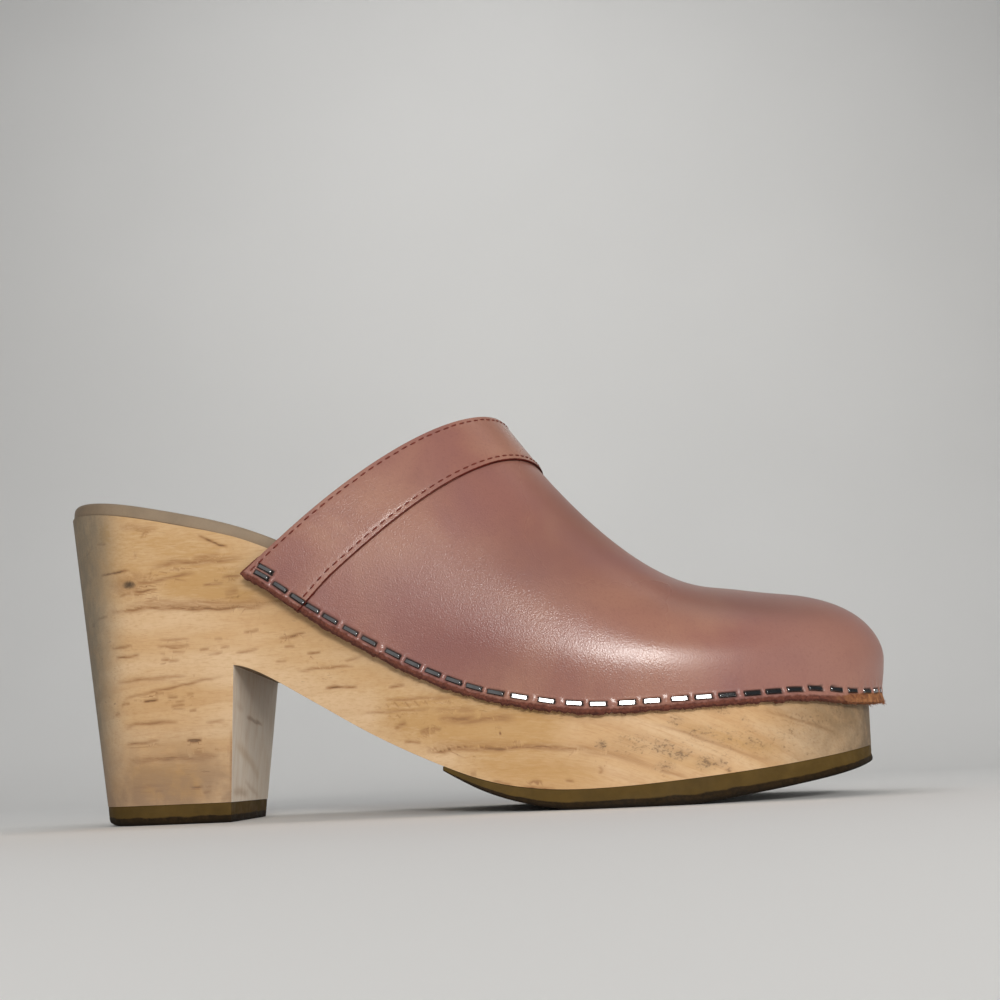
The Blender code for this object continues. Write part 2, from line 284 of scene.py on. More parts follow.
class Shade:
    def __init__(self, name, **fixed):
        self.material = bpy.data.materials.new(name)
        self.material.use_nodes = True
        self.tree = self.material.node_tree
        self.shader = self.tree.nodes["Principled BSDF"]
        for key, value in fixed.items():
            self.put(key.replace("_", " "), value)
        place = self.tree.nodes.new("ShaderNodeTexCoord").outputs
        self.coords, self.facing = place["Object"], place["Normal"]

    def plug(self, value, socket):  # a link or a fixed value
        if isinstance(value, bpy.types.NodeSocket):
            self.tree.links.new(value, socket)
        else:
            socket.default_value = value

    def put(self, key, value):  # into the surface shader
        self.plug(value, self.shader.inputs[key])

    def node(self, kind, output, inputs, **settings):
        made = self.tree.nodes.new("ShaderNode" + kind)
        for key, value in settings.items():
            setattr(made, key, value)
        for key, value in inputs.items():
            self.plug(value, made.inputs[key])
        return made.outputs[output]

    def painted(self, name, output="Fac"):
        return self.node("Attribute", output, {}, attribute_name=name)

    def stretch(self, coords, scale, location=(0, 0, 0), rotation=(0, 0, 0)):
        return self.node("Mapping", "Vector", {"Vector": coords, "Scale": scale, "Location": location,
                                               "Rotation": rotation})

    def noise(self, coords, scale, detail=2.0, rough=0.5, distort=0.0):
        return self.node("TexNoise", "Fac", {"Vector": coords, "Scale": scale, "Detail": detail,
                                             "Roughness": rough, "Distortion": distort})

    def drawn(self, coords, scale, detail=2.0, rough=0.5, shift=0.0):  # noise drawn out along the grain
        return self.noise(self.stretch(coords, scale, (0, shift, 0)), 1.0, detail, rough)

    def cells(self, coords, scale):
        return self.node("TexVoronoi", "Distance", {"Vector": coords, "Scale": scale})

    def sums(self, operation, *values):
        return self.node("Math", 0, dict(enumerate(values)), operation=operation)

    def plus(self, a, b):
        return self.sums("ADD", a, b)

    def times(self, a, b):
        return self.sums("MULTIPLY", a, b)

    def timesPlus(self, a, b, c):
        return self.sums("MULTIPLY_ADD", a, b, c)

    def fade(self, value, low, high, start=0.0, end=1.0):  # smooth step from start to end
        ends = {"Value": value, "From Min": low, "From Max": high, "To Min": start, "To Max": end}
        return self.node("MapRange", "Result", ends, interpolation_type="SMOOTHSTEP")

    def ramp(self, value, stops):  # stops of (place, grey or colour)
        made = self.tree.nodes.new("ShaderNodeValToRGB")
        self.plug(value, made.inputs["Fac"])
        elements = made.color_ramp.elements
        while len(elements) < len(stops):
            elements.new(0.5)
        for element, (place, tint) in zip(elements, stops):
            element.position = place
            element.color = (*tint, 1) if isinstance(tint, tuple) else (tint, tint, tint, 1)
        return made.outputs["Color"]

    def mix(self, share, a, b):  # of two tints
        a, b = ((*tint, 1) if isinstance(tint, tuple) else tint for tint in (a, b))
        return self.node("Mix", 2, {"Factor": share, 6: a, 7: b}, data_type="RGBA")

    def lay(self, share, tint):  # over the colour so far
        self.tint = self.mix(share, self.tint, tint)

    def between(self, share, a, b):  # of two numbers
        return self.node("Mix", "Result", {"Factor": share, "A": a, "B": b})

    def relief(self, height, distance, strength=1.0):
        self.put("Normal", self.node("Bump", "Normal", {"Height": height, "Distance": distance,
                                                        "Strength": strength}))

    def axes(self, coords):
        node = self.tree.nodes.new("ShaderNodeSeparateXYZ")
        self.plug(coords, node.inputs[0])
        return node.outputs

    def spot(self, coords, centre, reach):  # 1 at a centre, 0 past an oval reach
        away = self.node("VectorMath", 0, {0: coords, 1: centre}, operation="SUBTRACT")
        shaped = self.node("VectorMath", 0, {0: away, 1: reach}, operation="DIVIDE")
        return self.fade(self.node("VectorMath", "Value", {0: shaped}, operation="LENGTH"), 1.0, 0.0)


# pink leather of the upper and its band, with the raw cut edge along the bottom

leatherTone = {
    "mauve": (0.230, 0.099, 0.088),
    "dusk": (0.285, 0.143, 0.116),
    "pink": (0.268, 0.117, 0.090),
    "tan": (0.325, 0.158, 0.108),
    "brown": (0.185, 0.085, 0.061),
    "deep": (0.200, 0.078, 0.056),
    "shade": (0.19, 0.076, 0.065),
    "raw": (0.072, 0.017, 0.010),
    "rawPale": (0.165, 0.050, 0.029),
    "rawToe": (0.250, 0.092, 0.030),
    "rawLight": (0.420, 0.200, 0.075),
    "rawDeep": (0.028, 0.008, 0.005),
    # slot: painted shadow in and round the staple slots
    "slot": (0.014, 0.010, 0.009),
    "rawFrom": 1.1, "rawTo": 1.8,   # mm above the cut edge
    "toeX": 0.086, "toeRaw": 1.6,
    "grain": 0.038 * mm,
}
tonePatches = (  # centre, reach, tone and strength of the soft patches, outer side
    ((0.002, -0.039, 0.041), (0.030, 0.030, 0.017), "mauve", 0.75),
    ((0.088, -0.034, 0.036), (0.034, 0.032, 0.018), "dusk", 0.85),
    ((-0.012, -0.037, 0.054), (0.034, 0.030, 0.020), "mauve", 0.70),
    ((-0.048, -0.036, 0.061), (0.016, 0.020, 0.012), "mauve", 0.60),
    ((0.038, -0.039, 0.051), (0.036, 0.030, 0.012), "tan", 0.80),
    ((-0.024, -0.036, 0.080), (0.024, 0.020, 0.014), "tan", 0.95),
    ((0.070, -0.030, 0.048), (0.045, 0.026, 0.007), "brown", 0.55),
    ((0.106, -0.018, 0.034), (0.014, 0.030, 0.018), "dusk", 0.70),
    ((0.030, -0.022, 0.076), (0.026, 0.022, 0.024), "deep", 0.75),
    ((0.022, -0.037, 0.062), (0.034, 0.030, 0.022), "brown", 0.40),
    ((0.094, -0.026, 0.038), (0.022, 0.030, 0.018), "tan", 0.35),
    ((0.060, -0.026, 0.052), (0.032, 0.022, 0.010), "deep", 0.65),
)


def pinkLeather(name, seed):
    tone = leatherTone
    mat = Shade(name, Specular_IOR_Level=0.5)
    place = mat.coords
    coords = mat.stretch(place, (1, 1, 1), location=(seed, 0, 0))
    patches = mat.noise(coords, 30, 3, 0.55, 0.6)
    mat.tint = mat.ramp(patches, [(0.30, tone["mauve"]), (0.50, tone["pink"]), (0.70, tone["tan"])])
    for centre, reach, key, strength in tonePatches:
        mat.lay(mat.times(mat.spot(place, centre, reach), strength), tone[key])
    clouds = mat.noise(coords, 95, 4, 0.6, 0.4)
    mat.lay(mat.fade(clouds, 0.52, 0.80, 0.0, 0.25), tone["shade"])
    speckle = mat.noise(coords, 1300, 3, 0.6)
    mat.lay(mat.fade(speckle, 0.48, 0.75, 0.0, 0.28), tone["shade"])

    rise, slot = mat.painted("edgeRise"), mat.painted("slotShade")
    toe = mat.fade(mat.axes(place)[0], tone["toeX"], tone["toeX"] + 0.016)
    ragged = mat.timesPlus(mat.noise(coords, 700, 3, 0.6), 1.4, -0.7)
    rough = mat.timesPlus(toe, -tone["toeRaw"], mat.plus(rise, ragged))
    raw = mat.fade(rough, tone["rawTo"], tone["rawFrom"])
    fibre = mat.noise(coords, 1200, 5, 0.7, 0.8)
    rawTint = mat.ramp(fibre, [(0.36, tone["raw"]), (0.64, tone["rawPale"])])
    frayed = mat.ramp(mat.noise(coords, 520, 4, 0.7, 0.6),
                      [(0.32, tone["raw"]), (0.50, tone["rawToe"]), (0.70, tone["rawLight"])])
    rawTint = mat.mix(toe, rawTint, frayed)
    deep = mat.plus(rise, mat.times(ragged, 0.8))
    rawTint = mat.mix(mat.fade(deep, 0.75, 0.10, 0.0, 0.75), rawTint, tone["rawDeep"])
    mat.lay(raw, rawTint)
    # painted shadow round each staple
    mat.lay(slot, tone["slot"])
    mat.put("Base Color", mat.tint)
    gloss = mat.fade(mat.noise(coords, 60, 3, 0.6), 0.30, 0.75, 0.19, 0.24)
    along, _, up = mat.axes(place)
    ridge = mat.times(mat.fade(along, 0.010, 0.028), mat.fade(up, 0.048, 0.068, 0.0, 0.22))
    dullToe = mat.fade(along, 0.042, 0.064, 0.0, 0.15)
    gloss = mat.plus(gloss, mat.sums("MAXIMUM", ridge, dullToe))
    dull = mat.sums("MAXIMUM", raw, slot)
    mat.put("Roughness", mat.between(dull, gloss, 0.95))
    grain = mat.timesPlus(mat.cells(coords, 2800), 0.5, mat.noise(coords, 2500, 3, 0.6))
    height = mat.between(raw, grain, mat.times(fibre, 9.0))
    mat.relief(height, tone["grain"])
    return mat.material


def suedeLining():
    mat = Shade("suedeLining", Roughness=0.95, Sheen_Weight=0.25, Sheen_Roughness=0.5)
    coords = mat.coords
    nap = mat.noise(coords, 1300, 5, 0.7, 0.5)
    wide = mat.noise(coords, 45, 3, 0.6)
    mat.tint = mat.ramp(nap, [(0.3, (0.25, 0.125, 0.090)), (0.7, (0.40, 0.225, 0.165))])
    mat.lay(mat.fade(wide, 0.45, 0.75, 0.0, 0.45), (0.24, 0.115, 0.085))
    mat.put("Base Color", mat.tint)
    mat.relief(nap, 0.25 * mm, 0.5)
    return mat.material


def cutEdge():  # the raw rim seen from below and at the collar
    mat = Shade("cutEdge", Roughness=0.93)
    coords = mat.coords
    fibre = mat.noise(mat.stretch(coords, (1, 1, 2)), 900, 5, 0.7, 0.8)
    mat.tint = mat.ramp(fibre, [(0.32, leatherTone["raw"]), (0.68, leatherTone["rawPale"])])
    toe = mat.fade(mat.axes(coords)[0], leatherTone["toeX"], leatherTone["toeX"] + 0.014, 0.0, 0.75)
    mat.lay(toe, leatherTone["rawToe"])
    mat.put("Base Color", mat.tint)
    mat.relief(fibre, 0.35 * mm, 0.6)
    return mat.material


def dyedEdge():  # dark red edge of the collar band
    mat = Shade("dyedEdge", Roughness=0.8, Specular_IOR_Level=0.15)
    coords = mat.coords
    dye = mat.noise(coords, 600, 3)
    mat.tint = mat.ramp(dye, [(0.35, (0.060, 0.007, 0.004)), (0.7, (0.105, 0.015, 0.009))])
    mat.put("Base Color", mat.tint)
    mat.relief(mat.noise(coords, 1200, 3), 0.1 * mm, 0.4)
    return mat.material


upperPiece = {
    "edgeRound": 0.55 * mm, "segments": 2, "smoothing": 1, "sharp": 50, "evening": 8, "evenFrom": 5 * mm,
    "fineBands": (8.0, 6.4, 4.4),    # mm above the edge that get a finer mesh, twice as fine each time
    "staplesOuterSide": (            # mm along the edge from the outer back corner
        5.1, 10.8, 16.4, 21.0, 26.5, 32.7, 38.3, 45.3, 51.1, 56.9, 62.6, 68.1, 73.9, 80.0, 86.9, 93.8, 99.8,
        107.0, 113.1, 119.9, 125.8, 131.8, 138.3, 144.0, 150.1, 156.4, 163.6, 170.3, 177.9),
    "staplePitch": 6.6, "lastStaple": 5.1,
    "stapleRise": 2.6, "toeRise": 0.9, "toeRiseOver": (70 * mm, 95 * mm), "secondRise": 1.8,
    "slotLength": 4.25, "slotWidth": 1.05, "slotDepth": 0.45, "slotSoft": 0.38,
    "slotLip": 0.14, "slotLipAt": 0.55, "slotLipWidth": 0.28, "rimReach": 6 * mm,
    "pucker": 0.18, "puckerWidth": 0.50, "lip": 0.35, "lipRise": (2.0, 0.3),
    "trough": 0.95, "troughFrom": 15.5, "troughTo": 4.0, "troughEnds": (35, 75),
    "creases": 0.10, "creaseRise": 6.5, "creaseReach": 3.0, "toe": (86 * mm, 104 * mm), "highest": 18,
    "ragged": 0.20, "raggedStep": 0.45, "seed": 5,
}


def stapleSpots(edge, run):  # run along the lower edge and height above it of each staple, in mm
    runs = list(upperPiece["staplesOuterSide"])
    rest = run[-1] / mm - upperPiece["lastStaple"] - runs[-1]
    steps = round(rest / upperPiece["staplePitch"])
    runs += [runs[-1] + rest * (i + 1) / steps for i in range(steps)]
    x = np.interp(runs, run / mm, edge[:, 0])
    rises = upperPiece["stapleRise"] + upperPiece["toeRise"] * smoothStep(x, *upperPiece["toeRiseOver"])
    spots = list(zip(runs, rises))
    for end in (0, -1):  # the back corners have two, one above the other
        spots.append((runs[end], rises[end] + upperPiece["secondRise"]))
    return np.array(spots)


def pressLeather(obj, edge, run, spots):  # slots under the staples, puckers between them, a ragged lower lip
    size = upperPiece
    halfLength, halfWidth = size["slotLength"] / 2, size["slotWidth"] / 2
    points, normals = vertexPoints(obj), vertexNormals(obj)
    index, away = nearestOn(edge, points)
    outer, rim = vertsOf(obj, (0,)), vertsOf(obj, (2,)) & (away < size["rimReach"])
    rise, along = np.where(outer, away / mm, 0.0), run[index] / mm
    aside, above = np.abs(along[:, None] - spots[None, :, 0]), rise[:, None] - spots[None, :, 1]
    nearest = aside.argmin(axis=1)
    level = above[np.arange(len(points)), nearest]
    margin = np.maximum(aside - halfLength, np.abs(above) - halfWidth).min(axis=1)
    push = -size["slotDepth"] * smoothStep(margin, size["slotSoft"], 0.0)
    inLine = smoothStep(aside.min(axis=1), halfLength + 0.6, halfLength - 0.2)
    under = (level + halfWidth + size["slotLipAt"]) / size["slotLipWidth"]
    push += size["slotLip"] * inLine * np.exp(-under ** 2)
    ordered = np.unique(spots[:, 0])
    middles = (ordered[1:] + ordered[:-1]) / 2
    gap = np.abs(along[:, None] - middles[None, :]).min(axis=1)
    push += size["pucker"] * np.exp(-(gap / size["puckerWidth"]) ** 2 - ((level + 0.2) / 0.9) ** 2)
    toe = smoothStep(points[:, 0], *size["toe"])
    ripple = 0.7 + 0.3 * np.sin(along * 0.9) * np.sin(along * 0.37 + 1.0)
    push += size["lip"] * (1 - 0.7 * toe) * ripple * smoothStep(rise, *size["lipRise"])
    fromEnds = np.minimum(along, run[-1] / mm - along)
    tucked = np.clip((size["troughFrom"] - rise) / (size["troughFrom"] - size["troughTo"]), 0, 1) ** 1.4
    tucked *= smoothStep(fromEnds, *size["troughEnds"])
    push -= size["trough"] * tucked * (0.35 + 0.65 * smoothStep(rise, 0.6, 3.0))
    folds = np.sin(along * 2.3 + 0.8 * np.sin(along * 0.7))
    push += toe * size["creases"] * folds * np.exp(-((rise - size["creaseRise"]) / size["creaseReach"]) ** 2)
    push[~(outer | rim) | (rise > size["highest"])] = 0
    points += normals * push[:, None] * mm
    rng = np.random.default_rng(size["seed"])
    teeth = rng.normal(0, size["ragged"], int(run[-1] / mm / size["raggedStep"]) + 2)
    drop = np.interp(along, np.arange(len(teeth)) * size["raggedStep"], teeth) * smoothStep(rise, 0.9, 0.0)
    drop[~(outer | rim)] = 0
    points[:, 2] -= drop * mm
    setPoints(obj, points)
    paintValue(obj, "edgeRise", rise)
    # slotShade marks the painted shadow round each staple
    paintValue(obj, "slotShade", np.where(outer, smoothStep(margin, 0.27, 0.06), 0))


def refineFaces(obj, chosen):  # cuts each chosen face in four
    editPart(obj, "polygons", chosen)
    bpy.ops.mesh.subdivide(number_cuts=1, smoothness=0.0)
    leaveEdit()


def refineNear(obj, line, reach, slots):  # a finer mesh along a line
    close = nearestOn(line, vertexPoints(obj))[1] < reach * mm
    refineFaces(obj, np.array([face.material_index in slots and all(close[v] for v in face.vertices)
                               for face in obj.data.polygons]))


def outerSurface(obj):  # the outer wall alone
    points = [v.co.copy() for v in obj.data.vertices]
    faces = [tuple(p.vertices) for p in obj.data.polygons if p.material_index == 0]
    return BVHTree.FromPolygons(points, faces)


upper = copyOfNode("upper", "upperLeather")
rim, corners = outerRim(upper)
outerBack = min(corners, key=lambda i: rim[i][1])
innerBack = max(corners, key=lambda i: rim[i][1])
rimHalves = (rimStretch(rim, outerBack, innerBack), rimStretch(rim, innerBack, outerBack)[::-1])
lowerLine = max(rimHalves, key=lambda line: line[:, 0].max())  # it runs from the outer side round the toe
lowerEdge, lowerRun = evenly(lowerLine, 0.25 * mm)
staples = stapleSpots(lowerEdge, lowerRun)
print("lower edge", round(lowerRun[-1] / mm, 1), "mm with", len(staples), "staples")

wallFaces(upper)
for mat in (pinkLeather("pinkLeather", 0.0), suedeLining(), cutEdge()):
    upper.data.materials.append(mat)
roundOff(upper, upperPiece)
smoothUpper = outerSurface(upper)
wall = vertsOf(upper, (0,)) & ~vertsOf(upper, (1, 2))
wall &= nearestOn(lowerEdge, vertexPoints(upper))[1] > upperPiece["evenFrom"]
editPart(upper, "vertices", wall)
bpy.ops.mesh.vertices_smooth(factor=0.5, repeat=upperPiece["evening"])
leaveEdit()
for reach, slots in zip(upperPiece["fineBands"], ((0, 2), (0, 2), (0,))):
    refineNear(upper, lowerEdge, reach, slots)
pressLeather(upper, lowerEdge, lowerRun, staples)
finishPiece(upper, "upper", "upper")


# band sewn round the collar

bandPiece = {
    "edgeRound": 0.20 * mm, "segments": 2, "smoothing": 3, "sharp": 50,
    "lift": 0.12 * mm, "solidLift": 0.3 * mm, "thin": 0.60, "skived": 0.52, "skiveReach": 3.0 * mm,
    "stitchInset": 1.5 * mm, "stitchPitch": 2.7 * mm, "endGap": 3.5 * mm, "fineRow": 2.4,
    "groove": 0.045, "grooveWidth": 0.45, "grooveLeast": 0.2, "dyed": 0.24 * mm, "dyedEdgeReach": 3 * mm,
}

band = copyOfNode("collar_band", "collarBandLeather")
bandRim, bandCorners = outerRim(band)
bandLines = [rimStretch(bandRim, a, b) for a, b in zip(bandCorners, bandCorners[1:] + bandCorners[:1])]
longLines = sorted(bandLines, key=lambda line: -runAlong(line)[-1])[:2]
topLine, seamLine = sorted(longLines, key=lambda line: line[:, 0].mean())
wallFaces(band)
for face in band.data.polygons:  # only the seam's own edge is dyed
    if face.material_index == 2:
        toSeam = np.linalg.norm(seamLine - np.array(face.center), axis=1).min()
        toTop = np.linalg.norm(topLine - np.array(face.center), axis=1).min()
        if toSeam < min(toTop, bandPiece["dyedEdgeReach"]):
            face.material_index = 3
for mat in (pinkLeather("bandLeather", 0.37), suedeLining(), cutEdge(), dyedEdge()):
    band.data.materials.append(mat)
roundOff(band, bandPiece)


def thinDown(obj, base):  # lays the band closer to the upper, thinnest along the seam
    points = vertexPoints(obj)
    toSeam = nearestOn(evenly(seamLine, 0.5 * mm)[0], points)[1]
    fuller = smoothStep(toSeam, 0, bandPiece["skiveReach"])
    share = bandPiece["skived"] + (bandPiece["thin"] - bandPiece["skived"]) * fuller
    for i, point in enumerate(points):
        foot = base.find_nearest(Vector(point))[0]
        away = Vector(point) - foot
        height = bandPiece["lift"] + (away.length - bandPiece["solidLift"]) * share[i]
        points[i] = foot + away.normalized() * height
    setPoints(obj, points)


thinDown(band, smoothUpper)


def sewingLine(line, other, surface):  # a row set in from one edge towards the other, with normals
    points, run = evenly(line, 0.5 * mm)
    row = []
    for point, head in zip(points, np.gradient(points, axis=0)):
        _, normal, _, _ = surface.find_nearest(Vector(point))
        side = normal.cross(Vector(head)).normalized()
        if side.dot(Vector(nearestPoint(other, point) - point)) < 0:
            side = -side
        spot, normal, _, _ = surface.find_nearest(Vector(point) + side * bandPiece["stitchInset"])
        row.append((*spot, *normal))
    return np.array(row), run


bandSurface = outerSurface(band)
rows = [sewingLine(topLine, seamLine, bandSurface), sewingLine(seamLine, topLine, bandSurface)]

for row, _ in rows:
    refineNear(band, row[:, :3], bandPiece["fineRow"], (0,))
refineNear(band, lowerEdge, upperPiece["fineBands"][0], (0,))
pressLeather(band, lowerEdge, lowerRun, staples)
bandPoints, bandNormals = vertexPoints(band), vertexNormals(band)
outer = vertsOf(band, (0,))
for row, run in rows:  # deep at each stitch, shallow between them
    index, away = nearestOn(row[:, :3], bandPoints)
    beat = np.cos(np.pi * (run[index] - bandPiece["endGap"]) / bandPiece["stitchPitch"]) ** 2
    sink = bandPiece["groove"] * (bandPiece["grooveLeast"] + (1 - bandPiece["grooveLeast"]) * beat)
    sink *= np.exp(-(away / mm / bandPiece["grooveWidth"]) ** 2)
    bandPoints -= bandNormals * (sink * outer * mm)[:, None]
setPoints(band, bandPoints)
seamFoot = [bandSurface.find_nearest(Vector(point))[0] for point in evenly(seamLine, 0.2 * mm)[0]]
toSeam = nearestOn(seamFoot, [face.center for face in band.data.polygons])[1]
for face in band.data.polygons:  # the seam shows as a thin dark line
    if face.material_index == 0 and toSeam[face.index] < bandPiece["dyed"]:
        face.material_index = 3
finishPiece(band, "collar_band", "collar_band")


# burgundy stitches

stitchPiece = {
    "length": 2.30 * mm, "flat": 0.6, "width": 0.40 * mm, "thick": 0.38 * mm, "round": 0.12 * mm,
    "sag": 0.20 * mm, "taper": 0.75, "lift": 0.03 * mm,
}


def threadMaterial():
    mat = Shade("burgundyThread", Roughness=0.75, Specular_IOR_Level=0.25)
    coords = mat.coords
    ply = mat.noise(coords, 2600, 2)
    mat.put("Base Color", mat.ramp(ply, [(0.3, (0.095, 0.017, 0.011)), (0.7, (0.190, 0.042, 0.028))]))
    mat.relief(ply, 0.08 * mm, 0.6)
    return mat.material


def newBox(size):  # in edit mode
    bpy.ops.object.select_all(action="DESELECT")
    bpy.ops.mesh.primitive_cube_add(size=1)
    bpy.ops.object.mode_set(mode="EDIT")
    bpy.ops.transform.resize(value=size)
    return bpy.context.active_object


def editEnds(obj):  # the end faces along x
    editPart(obj, "polygons", [abs(face.normal.x) > 0.95 for face in obj.data.polygons])


def stitchPattern():
    size = stitchPiece
    stitch = newBox((size["length"] * size["flat"], size["width"], size["thick"]))
    bpy.ops.mesh.bevel(offset=size["round"], segments=1, affect="EDGES")
    leaveEdit()
    editEnds(stitch)  # both ends go out and down into the leather
    bpy.ops.mesh.extrude_region_move(TRANSFORM_OT_translate={"value": (0, 0, -size["sag"])})
    bpy.ops.transform.resize(value=(1 / size["flat"], size["taper"], size["taper"]))
    leaveEdit()
    return stitch


pattern = stitchPattern()
places = []
for row, run in rows:
    at = np.arange(bandPiece["endGap"], run[-1] - bandPiece["endGap"], bandPiece["stitchPitch"])
    spots = np.stack([np.interp(at, run, row[:, k]) for k in range(6)], axis=1)
    heads = np.gradient(spots[:, :3], axis=0)
    for spot, head in zip(spots, heads):
        normal = Vector(spot[3:])
        places.append(placeAt(Vector(spot[:3]) + normal * stitchPiece["lift"], head, normal))
stitches = joinCopies(pattern, places, "collarStitches")
stitches.data.materials.append(threadMaterial())
finishPiece(stitches, "collar_band")


# steel staples

staplePiece = {
    "length": 4.25 * mm, "width": 0.98 * mm, "thick": 0.50 * mm, "drop": 0.60 * mm, "splay": 0.10 * mm,
    "taper": 0.96, "shoulder": 0.26 * mm, "round": 0.09 * mm, "lift": 0.24 * mm,
    "tilt": 0.095, "leanStep": 0.062, "leanFrom": 27.3, "leanTo": 28.4, "leanPerMm": 0.0006,   # heights in mm
    "turn": 0.085, "turnAt": 83.5, "turnReach": 6.0,
    "bendFrom": 0.02 * mm ** 2, "bendTo": 0.16 * mm ** 2,   # areas of the faces in the bends
}


def stapleSteel():
    mat = Shade("stapleSteel", Metallic=1.0)
    coords = mat.coords
    film = mat.noise(coords, 500, 4, 0.6)
    mat.put("Base Color", mat.ramp(film, [(0.3, (0.165, 0.167, 0.171)), (0.65, (0.24, 0.242, 0.246))]))
    mat.put("Roughness", mat.fade(film, 0.3, 0.7, 0.11, 0.08))
    return mat.material


def staplePattern():
    size = staplePiece
    flat = size["length"] - 2 * size["splay"]
    staple = newBox((flat, size["width"], size["thick"]))
    leaveEdit()
    editEnds(staple)  # the shoulders turn down into the leather
    bpy.ops.mesh.extrude_region_move(TRANSFORM_OT_translate={"value": (0, 0, -size["drop"])})
    bpy.ops.transform.resize(value=(size["length"] / flat, size["taper"], 1.0))
    leaveEdit()
    bends = []
    for edge in staple.data.edges:  # the two bends of the crown
        a, b = (staple.data.vertices[v].co for v in edge.vertices)
        bends.append(min(a.z, b.z) > 0 and abs(a.x - b.x) < 0.01 * mm)
    editPart(staple, "edges", bends)
    bpy.ops.mesh.bevel(offset=size["shoulder"], segments=5, affect="EDGES")
    bpy.ops.mesh.select_all(action="DESELECT")
    bpy.ops.mesh.edges_select_sharp(sharpness=math.radians(50))
    bpy.ops.mesh.bevel(offset=size["round"], segments=1, affect="EDGES")
    bpy.ops.mesh.select_all(action="SELECT")
    bpy.ops.mesh.normals_make_consistent(inside=False)
    leaveEdit()
    return staple


skin = surfaceOf(upper, band)
edgeHeads = np.gradient(lowerEdge, axis=0)
places, size = [], staplePiece
for at, level in staples:
    k = int(np.abs(lowerRun / mm - at).argmin())
    point, head = Vector(lowerEdge[k]), Vector(edgeHeads[k]).normalized()
    outward = head.cross(Vector((0, 0, 1))).normalized()
    up = outward.cross(head).normalized()
    if up.z < 0:
        up = -up
    spot = layOn(skin, point + up * level * mm, outward)
    high = spot.z / mm
    lean = size["tilt"] + size["leanStep"] * smoothStep(high, size["leanFrom"], size["leanTo"])
    lean += size["leanPerMm"] * max(high - size["leanTo"], 0)
    turn = size["turn"] * math.exp(-((at - size["turnAt"]) / size["turnReach"]) ** 2)
    face = outward + head * turn + Vector((0, 0, lean))
    places.append(placeAt(spot + outward * size["lift"], head, face))
stapleRow = joinCopies(staplePattern(), places, "stapleRow")
bpy.ops.object.shade_flat()
for face in stapleRow.data.polygons:  # only the bends are shaded round
    face.use_smooth = staplePiece["bendFrom"] < face.area < staplePiece["bendTo"]
stapleRow.data.materials.append(stapleSteel())
finishPiece(stapleRow, "upper")


# loose fibres along the raw edge

fuzzPiece = {
    "count": 1500, "seed": 11, "length": (0.5 * mm, 1.5 * mm), "width": 0.12 * mm, "curl": 0.9,
    "rise": (0.05, 1.1), "down": (0.3, 1.0), "out": (0.2, 0.9), "aside": (-0.8, 0.8), "sunk": 0.15 * mm,
}


def fibrePattern():
    bpy.ops.object.select_all(action="DESELECT")
    bpy.ops.mesh.primitive_cone_add(vertices=3, radius1=0.5, radius2=0.2, depth=1)
    fibre = bpy.context.active_object
    bpy.ops.object.mode_set(mode="EDIT")
    bpy.ops.transform.translate(value=(0, 0, 0.5))
    bpy.ops.mesh.subdivide(number_cuts=1)
    leaveEdit()
    for vert in fibre.data.vertices:  # a slight curl
        vert.co.x += fuzzPiece["curl"] * vert.co.z * vert.co.z
    return fibre


rng = np.random.default_rng(fuzzPiece["seed"])
places = []
for _ in range(fuzzPiece["count"]):
    k = int(rng.integers(4, len(lowerEdge) - 4))
    head = Vector(edgeHeads[k]).normalized()
    outward = head.cross(Vector((0, 0, 1))).normalized()
    rise = Vector((0, 0, rng.uniform(*fuzzPiece["rise"]) * mm))
    spot = layOn(skin, Vector(lowerEdge[k]) + rise, outward)
    lean = Vector((0, 0, -1)) * rng.uniform(*fuzzPiece["down"])
    lean += outward * rng.uniform(*fuzzPiece["out"])
    lean += head * rng.uniform(*fuzzPiece["aside"])
    lean.normalize()
    size = rng.uniform(*fuzzPiece["length"]) * rng.uniform(0.5, 1.0)
    frameAt = placeAt(spot - outward * fuzzPiece["sunk"], head, lean)
    places.append(frameAt @ Matrix.Diagonal((fuzzPiece["width"], fuzzPiece["width"], size, 1)))
fuzz = joinCopies(fibrePattern(), places, "rawEdgeFuzz")
fuzz.data.materials.append(cutEdge())
finishPiece(fuzz, "upper")


# wooden sole

woodPiece = {
    "edgeRound": 0.9 * mm, "segments": 3, "smoothing": 2, "sharp": 40,
    "fineStep": 1.6 * mm, "fineRounds": 4, "streakStep": 0.62 * mm, "streakRounds": 2, "streakReach": 2.2,
    "sideFacing": -0.35, "frontFacing": 0.6, "frontX": -40,   # of the outer side and of the heel's front
    "thinTo": 1.2, "leastWidth": 0.38, "gain": 1.08,          # mm, mm and strength of the thin streaks
    "heart": (45.0, 260.0),          # y and z of the tree's middle, mm
    "bendX": 25.0, "bendSoft": 12.0, "toeSlope": 0.45,
    "ringStep": 5.6,
    "pale": (0.64, 0.450, 0.270), "honey": (0.55, 0.345, 0.170), "latewood": (0.42, 0.225, 0.095),
    "streak": (0.290, 0.142, 0.056), "fleck": (0.120, 0.062, 0.028), "knotDark": (0.045, 0.030, 0.020),
    "grey": (0.162, 0.139, 0.103), "lowBrown": (0.28, 0.182, 0.112), "toeEnd": (0.105, 0.073, 0.044),
    "dirt": (0.140, 0.083, 0.045), "endGrainAndLight": (0.82, 0.730, 0.620),
    "arch": (0.16, 0.105, 0.062), "amber": (0.43, 0.240, 0.076),
    "knot": (-0.0910, -0.0261, 0.0619),
}
